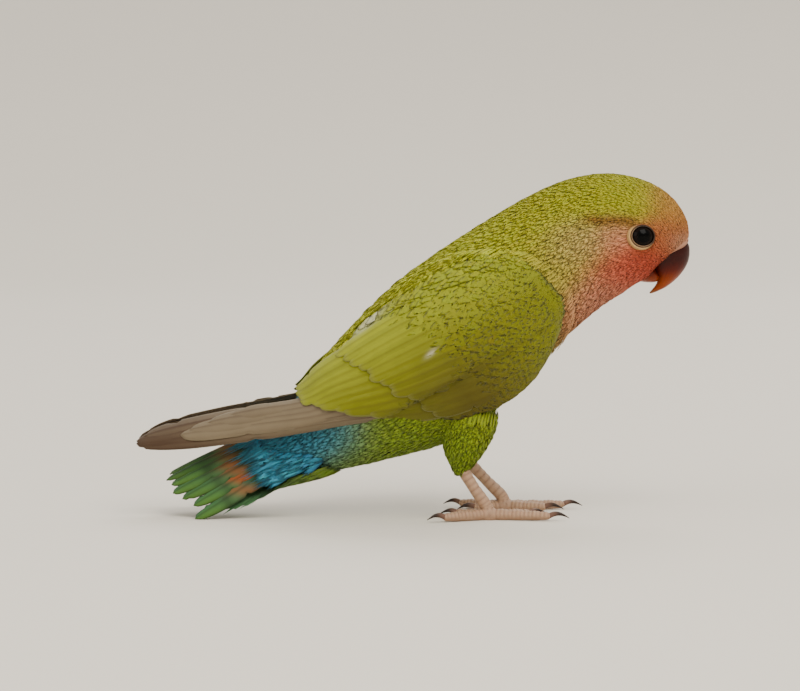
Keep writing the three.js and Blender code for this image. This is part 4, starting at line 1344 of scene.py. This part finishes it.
# %% Tail coverts
def tail_coverts(name, seed, lie, reach, length, half, lift, near, far, fade, most):
    """Coverts strewn over the root of the tail, which fade from one colour to another along it."""
    rng = np.random.default_rng(seed)
    u, v = rng.uniform(*reach, TAIL_COVERTS), rng.uniform(0.02, 0.98, TAIL_COVERTS)
    along = unit(lie.at(u, v)[1])
    heading = along + 0.12 * rng.standard_normal(along.shape)
    scale = 1 + 0.15 * rng.standard_normal(TAIL_COVERTS)
    size = (length * scale, half * scale)
    spots = kept_above(lay(lie, u, v, heading, *size, LONG, lift, 0.12, rng, fray=0.08), 0.1)
    base = mix(near, far, most * ease(-spots.mean(1)[:, 0], *fade)[:, None])
    colours = feather_colours(base, LONG, rng, vary=0.1)
    tile = np.stack([v * 0.96 + 0.02, u * 0.8 + 0.05], -1)
    coat_piece(name, spots, LONG, colours, tile, *size, COVERT, "tail_feathers", "tail")


TAIL_COVERTS = 900  # above, and as many below
UPPER = (fan_lie, (-0.15, 0.22), 9.0, 0.75, (0.2, 1.7), TAIL["blue"], TAIL["teal"], (36, 46), 0.6)
UNDER = (under_lie, (-0.1, 0.68), 7.0, 0.7, (-0.2, 0.7), PAINTS["grass_green"], TAIL["teal"], (14, 36), 0.8)
tail_coverts("uppertail_coverts", 71, *UPPER)
tail_coverts("undertail_coverts", 72, *UNDER)

# %% [markdown]
# ## The bill
#
# A parrot's bill is deep and strongly hooked. Horn grows in fine layers, so it has faint lines along
# its curve and a worn, glossy surface. It is dark red-brown at its base and amber at its tip.

# %% Bill shapes
# Upper line x and z, lower line x and z, half width and widest place.
UPPER_BILL = [
    [66.5, 70.0, 58.5, 65.6, 4.0, 0.5],
    [69.3, 69.6, 60.4, 64.8, 4.6, 0.55],
    [71.8, 68.3, 62.2, 63.6, 4.7, 0.6],
    [72.3, 65.6, 63.1, 62.0, 4.3, 0.6],
    [71.6, 62.8, 63.8, 60.6, 3.6, 0.6],
    [69.6, 59.9, 64.3, 59.2, 2.7, 0.6],
    [66.8, 57.5, 63.9, 57.9, 1.7, 0.55],
    [64.3, 56.2, 63.0, 56.7, 0.8, 0.5],
    [62.5, 55.55, 62.2, 55.8, 0.15, 0.5],
]
LOWER_BILL = [
    [57.0, 64.2, 57.2, 59.4, 3.2, 0.5],
    [60.5, 63.9, 60.3, 58.6, 3.9, 0.5],
    [62.4, 63.2, 62.4, 58.4, 3.7, 0.5],
    [63.6, 61.9, 64.0, 58.6, 3.0, 0.5],
    [64.2, 60.6, 64.8, 59.3, 1.8, 0.5],
]
HORN = {
    "maroon": paint("2c0502"),
    "brick": paint("541303"),
    "amber": paint("823503"),
    "grey": paint("6a5236"),
}


def bill_markings(points):
    """Dark red at the base and along the ridge, amber below, and grey at the worn tip."""
    x, z = points[:, 0], points[:, 2]
    ridge = ease(np.hypot(x - 60.5, z - 60.5), 9.6, 12.2)
    height = z - 0.12 * (x - 66) + 0.25 * np.sin(9 * x + 7 * points[:, 1])
    colour = mix(HORN["amber"], HORN["brick"], ease(height, 57.8, 61.8)[:, None])
    colour = mix(colour, HORN["maroon"], np.maximum(ease(height, 59.6, 64.2), 0.7 * ridge)[:, None])
    return mix(colour, HORN["grey"], (0.7 * ease(-z, -57.0, -55.6))[:, None])


def bill_rings(table):
    return lambda place, turn: ring_points(between(table, place), turn, 0.0)


def horn_finish(name, roughness):
    """Worn horn with faint lines along its growth."""
    return grained_finish(name, roughness, 0.16, 1400.0, 5.0, (0.8, 1.15), 0.00005, squeeze=3.0)


BILL_HORN = horn_finish("bill_horn", 0.32)
for name, table, solid in (
    ("upper_bill", UPPER_BILL, "bill_upper"),
    ("lower_bill", LOWER_BILL, "bill_lower"),
):
    bill = bent_grid(name, egg_form(bill_rings(table), len(table) - 1, 0.03), 64, 80, finish=BILL_HORN)
    paint_mesh(bill.data, bill_markings(corner_places(bill.data)))
    settle(bill, "bill_horn", solid)

# %% [markdown]
# ## Cere and nostrils
#
# A narrow band of pale bare skin, the cere, joins the bill to the forehead. The two nostrils open in it
# as small round pits with a raised rim.

# %% The cere
NOSTRIL_RIM, NOSTRIL_PIT = 0.1, 0.26  # height and depth in mm
CERE_THICKNESS = 0.00025


def cere_point(u, v):
    place = mix(CERE_BACK - 0.35, FACE_END + 0.25, v)
    turn = mix(-1.0, 1.0, u) * 1.06 * CERE_HALF_TURN
    edge = np.clip(np.minimum(2 * v, 3 * (1 - v)), 0, 1) * np.clip(8 * np.minimum(u, 1 - u), 0, 1)
    return body_point(place, turn, coat_depth(place) + mix(-0.35, 0.12, edge))


def from_nostril(spots):
    """How far places are from the nostril of their side, in mm."""
    return np.linalg.norm(spots * [1, 0, 1] + np.abs(spots) * [0, 1, 0] - NOSTRIL, axis=-1)


def bare_skin_finish(name, roughness, scale):
    """Soft bare skin with fine pores."""
    return grained_finish(name, roughness, 0.25, scale, 3.0, (0.85, 1.1), 0.00007)


NOSTRIL = np.abs(cere_point(np.array([0.4]), np.array([0.5]))[0])
cere = bent_grid("cere", cere_point, 90, 36, finish=bare_skin_finish("cere_skin", 0.55, 2200.0))
with edited(cere.data) as bm:
    bm.normal_update()
    for vert in bm.verts:
        away = from_nostril(np.array(vert.co) * 1000 - SHIFT)
        dip = float(NOSTRIL_RIM * bell(away - 0.66, 0.2) - NOSTRIL_PIT * bell(away, 0.36))
        vert.co += vert.normal * math.copysign(1, vert.normal.x) * dip / 1000
    bmesh.ops.solidify(bm, geom=bm.faces[:], thickness=CERE_THICKNESS)
    bmesh.ops.recalc_face_normals(bm, faces=bm.faces)
away = from_nostril(corner_places(cere.data))
# painted shade: the nostril pits are painted near black for their depth
paint_mesh(cere.data, mix(paint("140805"), paint("a87860"), ease(away, 0.22, 0.5)[:, None]))
settle(cere, "face_feathers")

# %% [markdown]
# ## Eyes
#
# The eye is nearly black, a little oval and wet. It bulges out of a ring of pale bare skin, whose inner
# edge is the lids' dark rim.

# %% Eyeball and lids
EYE_HALF = (3.6, 3.25, 3.6)  # the eyeball's half length, half height and half depth
EYE_SUNK = 2.3  # how far its middle lies under the skin
OPENING = (2.95, 2.6)  # half length and half height between the lids
# Reach from the opening's edge and height over the head's surface, in mm, from the inner edge outwards.
LID_PROFILE = [
    *([-0.28, -0.5], [-0.22, 0.3], [-0.12, 0.42], [0.04, 0.32], [0.18, 0.24]),
    *([0.32, 0.4], [0.46, 0.3], [0.6, -0.1], [0.8, -1.6]),
]
EYE_DARK, EYE_BROWN = np.array([0.001, 0.001, 0.001]), np.array([0.006, 0.003, 0.002])


def eye_frame(side):
    """The point on the skin over the eye, and three directions: forward, up and out of the head."""
    out, level = unit(np.array([0.16, side, 0.06])), np.array([1.0, 0, -0.08])
    ahead = unit(level - out * (level @ out))
    up = np.cross(ahead, out) * -side
    surface = EYE + [0, side * flank(EYE[:1], EYE[2:])[0], 0]
    return surface, np.array([ahead, up * np.sign(up[2]), out])


def ball_form(middle, half, axes):
    """An egg with three half widths along three directions, for a bent grid."""

    def point_of(u, v):
        a, b = 2 * np.pi * u, np.pi * v
        return middle + np.stack([np.sin(b) * np.cos(a), np.sin(b) * np.sin(a), np.cos(b)], -1) * half @ axes

    return point_of


def behind_below(angle, low, high):
    """0 in front of the eye and above it, and 1 behind it and below."""
    return ease(-0.75 * np.cos(angle) - 0.65 * np.sin(angle), low, high)


def ring_width(angle):
    """How wide the bare ring is round the eye."""
    return mix(0.65, 1.4, behind_below(angle, -0.8, 0.9))


def lid_form(surface, axes):
    """The lids as a ring round the eye, for a bent grid."""

    def point_of(u, v):
        a = 2 * np.pi * u
        reach, height = np.moveaxis(between(LID_PROFILE, v * (len(LID_PROFILE) - 1)), -1, 0)
        reach = np.where(reach > 0, reach * ring_width(a), reach)
        x, z = (OPENING[0] + reach) * np.cos(a), (OPENING[1] + reach) * np.sin(a)
        bulge = flank(surface[0] + x, surface[2] + z) - np.abs(surface[1])
        crinkle = 0.03 * np.sin(23 * a) * ease(v, 0.3, 0.6)
        return surface + np.stack([x, z, height + crinkle + 0.8 * bulge * ease(v, 0.3, 1.0)], -1) @ axes

    return point_of


def lid_markings(places):
    """Dark at the lids' rim, and a pale ring round them, darker in front, for places in the eye's frame."""
    a = np.arctan2(places[:, 1] / OPENING[1], places[:, 0] / OPENING[0])
    opening = np.hypot(OPENING[0] * np.cos(a), OPENING[1] * np.sin(a))
    reach = (np.hypot(places[:, 0], places[:, 1]) - opening) / ring_width(a)
    below = behind_below(a, -0.5, 0.6)[:, None]
    inner = mix(paint("2a1a10"), paint("7c6248"), below * ease(-reach, -0.06, 0.02)[:, None])
    outer = mix(paint("6a3c20"), paint("b08c58"), below)
    return mix(inner, outer, ease(reach, 0.16, 0.26)[:, None])


WET_EYE, tree, shader = new_finish("wet_eye", 0.05, 0.06)
tree.links.new(marks(tree), shader.inputs["Base Color"])
LID_SKIN = bare_skin_finish("lid_skin", 0.5, 2600.0)
for word, side in SIDES.items():
    surface, axes = eye_frame(side)
    middle = surface - EYE_SUNK * axes[2]
    ball = bent_grid(f"eye_{word}_wet", ball_form(middle, EYE_HALF, axes), 48, 32, finish=WET_EYE)
    off = np.linalg.norm(np.cross(unit(corner_places(ball.data) - middle), axes[2]), axis=-1)
    rim = ease(off, 0.44, 0.5) * (1 - 0.6 * ease(off, 0.6, 0.68))
    paint_mesh(ball.data, mix(EYE_DARK, EYE_BROWN, rim[:, None]))
    settle(ball, "eye", f"eye_{word}")

    lids = bent_grid(f"lids_{word}", lid_form(surface, axes), 72, 24, finish=LID_SKIN)
    paint_mesh(lids.data, lid_markings((corner_places(lids.data) - surface) @ axes.T))
    settle(lids, "face_feathers")

# %% [markdown]
# ## Legs and feet
#
# The shank and toes are bare and scaly. Two toes point forward and two back. Rings of small scutes
# cross the top of each toe, which swells a little at its joints, and a curved claw ends it.

# %% Forms of the foot
# Length, turn outwards from straight ahead, and joints: inner hind, inner front, outer front, outer hind.
TOES = [(8.6, -157, 2), (10.8, -16, 3), (15.6, 11, 4), (12.8, 152, 4)]
TOE_RADIUS, TOE_HEIGHT = 1.35, 1.2
FOOT_BALL = (2.4, 2.2, 2.2)
SHANK_REACH, SHANK_SCUTES = (0.2, 4.0), 14


def foot_centre(side):
    x, y = SHANK[-1][:2]
    return np.array([x + AHEAD[side], side * y, TOE_HEIGHT])


def toe_way(side, turn):
    angle = math.radians(turn)
    return np.array([math.cos(angle), side * math.sin(angle), 0.0])


def along_toe(side, turn, run, aside, height):
    """Places by how far they lie along a toe, to its side and over the floor."""
    way = toe_way(side, turn)
    spot = foot_centre(side) + run[:, None] * way + aside[:, None] * np.cross([0.0, 0.0, 1.0], way)
    spot[:, 2] = np.maximum(height, 0.0)
    return spot


def scute_wave(run):
    """0 in the grooves between two scutes and 1 on them, for places along a toe in mm."""
    return np.abs(np.sin(np.pi * run)) ** 0.5


def toe_form(side, spec):
    """A toe with swollen joints, scutes across its top and a flat sole, for a bent grid."""
    length, turn, joints = spec

    def point_of(u, v):
        angle = 2 * np.pi * u
        swell = 1 + 0.08 * np.cos(v * joints * 2 * np.pi)
        run = mix(-0.8, length + 0.15, v)
        scute = 0.2 * scute_wave(run) * ease(np.sin(angle), -0.7, 0.2)
        pad = 0.12 * np.abs(np.sin(np.pi * v * joints)) * ease(-np.sin(angle), 0.0, 0.8)
        radius = (TOE_RADIUS * mix(0.97, 0.63, v) * swell + scute + pad) * pinch(v, 0.11)
        return along_toe(side, turn, run, np.cos(angle) * radius, TOE_HEIGHT + np.sin(angle) * radius * 1.05)

    return point_of


def shank_grow(v, turn):
    """Scutes across the front of the shank."""
    return 0.18 * scute_wave(SHANK_SCUTES * v) * ease(np.cos(turn), -0.7, 0.1) - 0.06


def foot_ball_form(side):
    ball = ball_form(foot_centre(side), FOOT_BALL, np.eye(3))
    return lambda u, v: kept_above(ball(u, v), 0.0)


print("toes:", len(TOES), "a foot, the longest", max(toe[0] for toe in TOES), "mm without its claw")

# %% Leg colours and finish
def leg_markings(spots, side):
    """Pale pinkish scutes, with painted shade in the grooves between them; near the floor the pattern fades
    to an even tone.
    """
    off = spots - foot_centre(side)
    shade, nearest = np.ones(len(spots)), np.full(len(spots), 2.2)
    for _, turn, _ in TOES:
        run = off @ toe_way(side, turn)
        aside = np.linalg.norm(off - run[:, None] * toe_way(side, turn), axis=-1)
        here = (aside < nearest) & (run > 0.5)
        # painted shade: darker in the grooves between the toes' scutes
        shade, nearest = np.where(here, scute_wave(run), shade), np.where(here, aside, nearest)
    steps = np.linspace(0, 1, 400)
    line = limb_middle(SHANK, side, mix(*SHANK_REACH, steps))
    nearest = np.argmin(((spots[:, None] - line[None]) ** 2).sum(-1), 1)
    # painted shade: darker in the grooves between the shank's scutes
    shade = np.where(spots[:, 2] > 3.4, scute_wave(SHANK_SCUTES * steps[nearest]), shade)
    top = ease(spots[:, 2], 0.3, 1.6)
    return mix(paint("80604a"), paint("a8866a"), mix(0.6, shade, top)[:, None])


def leg_finish():
    """Slightly waxy skin with small scales, a little darker at their edges as painted shade."""
    finish, tree, shader = new_finish("leg_skin", 0.5)
    shader.inputs["Subsurface Weight"].default_value = 0.15
    shader.inputs["Subsurface Radius"].default_value = (0.0015, 0.0007, 0.0005)
    shader.inputs["Subsurface Scale"].default_value = 0.5
    inputs = {"Vector": object_place(tree), "Scale": 3200.0}
    cells = node(tree, "ShaderNodeTexVoronoi", inputs, feature="DISTANCE_TO_EDGE").outputs["Distance"]
    edge = node(tree, "ShaderNodeMapRange", {"Value": cells, "From Max": 0.25}).outputs[0]
    # painted shade: the colour is a little darker at the edges of the scales
    shade = tinted(tree, tinted(tree, marks(tree), edge, 0.93, 1.02), noise(tree, 500.0), 0.88, 1.12)
    dress(tree, shader, shade, edge, 0.00004)
    return finish


LEG_SKIN = leg_finish()
print("leg finish:", LEG_SKIN.name)

# %% Legs
for word, side in SIDES.items():
    shank = limb_form(SHANK, side, SHANK_REACH, 0.1, shank_grow)
    leg = bent_grid("shank", shank, 28, 90, (0.02, 0.52, 0.3, 0.98), LEG_SKIN)
    grow_together(leg, bent_grid("ball", foot_ball_form(side), 28, 20, (0.4, 0.52, 0.6, 0.98), LEG_SKIN))
    for i, spec in enumerate(TOES):
        cell = (0.02 + 0.24 * i, 0.02, 0.22 + 0.24 * i, 0.48)
        grow_together(leg, bent_grid("toe", toe_form(side, spec), 28, 90, cell, LEG_SKIN))
    leg.name = leg.data.name = f"leg_{word}"
    heart = Vector(to_scene(foot_centre(side) + [0, 0, 1.0]))
    soften(leg.data, lambda spot: (spot - heart).length < 0.0036 and spot.z > 0.0001, 5)
    paint_mesh(leg.data, leg_markings(corner_places(leg.data), side))
    settle(leg, "leg_skin", f"shank_{word}", f"foot_{word}")

# %% Claws
CLAW_LENGTH, CLAW_RADIUS, CLAW_RISE = 4.4, 0.72, 1.0


def claw_form(side, spec):
    """A claw that rises from the toe's end and curves down, for a bent grid."""
    length, turn, _ = spec

    def point_of(u, v):
        angle = 2 * np.pi * u
        height = TOE_HEIGHT + CLAW_RISE * np.sin(np.pi * 0.9 * v) * (1 - 0.4 * v) - 0.62 * v * v
        radius = CLAW_RADIUS * mix(1.05, 0.08, v**1.3) * pinch(v, 0.04)
        run = length - 0.5 + (CLAW_LENGTH + 0.8) * v
        return along_toe(side, turn, run, np.cos(angle) * radius * 0.8, height + np.sin(angle) * radius)

    return point_of


CLAW_HORN = horn_finish("claw_horn", 0.35)
for word, side in SIDES.items():
    for i, spec in enumerate(TOES):
        claw = bent_grid(f"claw_{word}_{i + 1}_horn", claw_form(side, spec), 24, 40, finish=CLAW_HORN)
        far = np.linalg.norm(corner_places(claw.data) - foot_centre(side), axis=-1) - spec[0]
        paint_mesh(claw.data, mix(paint("6b5044"), paint("2c211c"), ease(far, 0.3, 2.5)[:, None]))
        settle(claw, "claw_horn", f"claw_{word}_{i + 1}")

# %% [markdown]
# ## Floor, light and camera
#
# A pale round floor that sweeps up far from the bird gives an even ground with no line on the horizon,
# from whichever side it is seen. A large soft light from above and in front brings out the feathers,
# weaker ones fill the shadows, and a tiny one makes the glint in the eye.

# %% The floor
FLAT_REACH, BEND = 1.15, 1.8  # metres: how far the floor is flat, and the radius of its sweep


def floor_point(u, v):
    turn, run = 2 * np.pi * u, mix(0, FLAT_REACH + 1.1 * BEND, v)
    bend = np.maximum(run - FLAT_REACH, 0) / BEND
    far = np.minimum(run, FLAT_REACH) + BEND * np.sin(bend)
    return np.stack([far * np.cos(turn), far * np.sin(turn), BEND * (1 - np.cos(bend))], -1) * 1000 - SHIFT


floor = bent_grid("floor", floor_point, 96, 60)
ground, tree, shader = new_finish("pale_floor", 0.85)
shade = node(tree, "ShaderNodeRGB").outputs[0]
shade.default_value = (*paint("d9d3c8"), 1)
tree.links.new(tinted(tree, shade, noise(tree, 3.0, 2.0), 0.98, 1.02), shader.inputs["Base Color"])
floor.data.materials.append(ground)
floor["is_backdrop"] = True
print("floor:", len(floor.data.polygons), "faces")

# %% The lights
MIDDLE = Vector((0.0, 0.0, 0.045))
# Name, place, size, power in watts and tint.
LIGHTS = [
    ("key", (0.5, -1.1, 1.5), 1.2, 32.0, (1.0, 0.96, 0.88)),
    ("fill", (-1.5, -1.0, 0.7), 1.4, 12.0, (1.0, 0.98, 0.94)),
    ("glint", (0.42, -1.0, 0.62), 0.05, 1.5, (1.0, 0.98, 0.94)),
    ("back", (0.4, 1.1, 1.4), 1.0, 18.0, (1.0, 0.98, 0.95)),
]


def stand(name, data, spot, aim):
    """A lamp or a camera at a place, turned to another."""
    made = show(name, data)
    made.location = spot
    made.rotation_euler = (aim - Vector(spot)).to_track_quat("-Z", "Y").to_euler()
    return made


for name, spot, size, power, tint in LIGHTS:
    light = bpy.data.lights.new(name, "AREA")
    light.energy, light.size, light.color = power, size, tint
    stand(name, light, spot, MIDDLE)
world = bpy.data.worlds.new("studio")
bpy.context.scene.world = world
world.use_nodes = True
sky = world.node_tree.nodes["Background"].inputs
sky["Color"].default_value, sky["Strength"].default_value = (1.0, 0.96, 0.89, 1), 0.9
print("lights:", [light[0] for light in LIGHTS])

# %% The camera
DISTANCE, RISE = 0.9, math.radians(4)
aim = Vector((SHIFT[0] / 1000, 0, 0.0426))
lens = bpy.data.cameras.new("camera")
lens.sensor_width, lens.lens = 36, 162
camera = stand("camera", lens, aim + DISTANCE * Vector((0, -math.cos(RISE), math.sin(RISE))), aim)
bpy.context.scene.camera = camera
print("camera at", [round(c, 3) for c in camera.location])

# %% [markdown]
# ## Last checks
#
# The dressed bird has to keep the solids' size. The difference between the two boxes is printed.

# %% Sizes, and finish
dressed_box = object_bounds()
for a, b in zip(cad_box, dressed_box):
    print([round(1000 * (q - p), 2) for p, q in zip(a, b)], "mm from the solids' box")
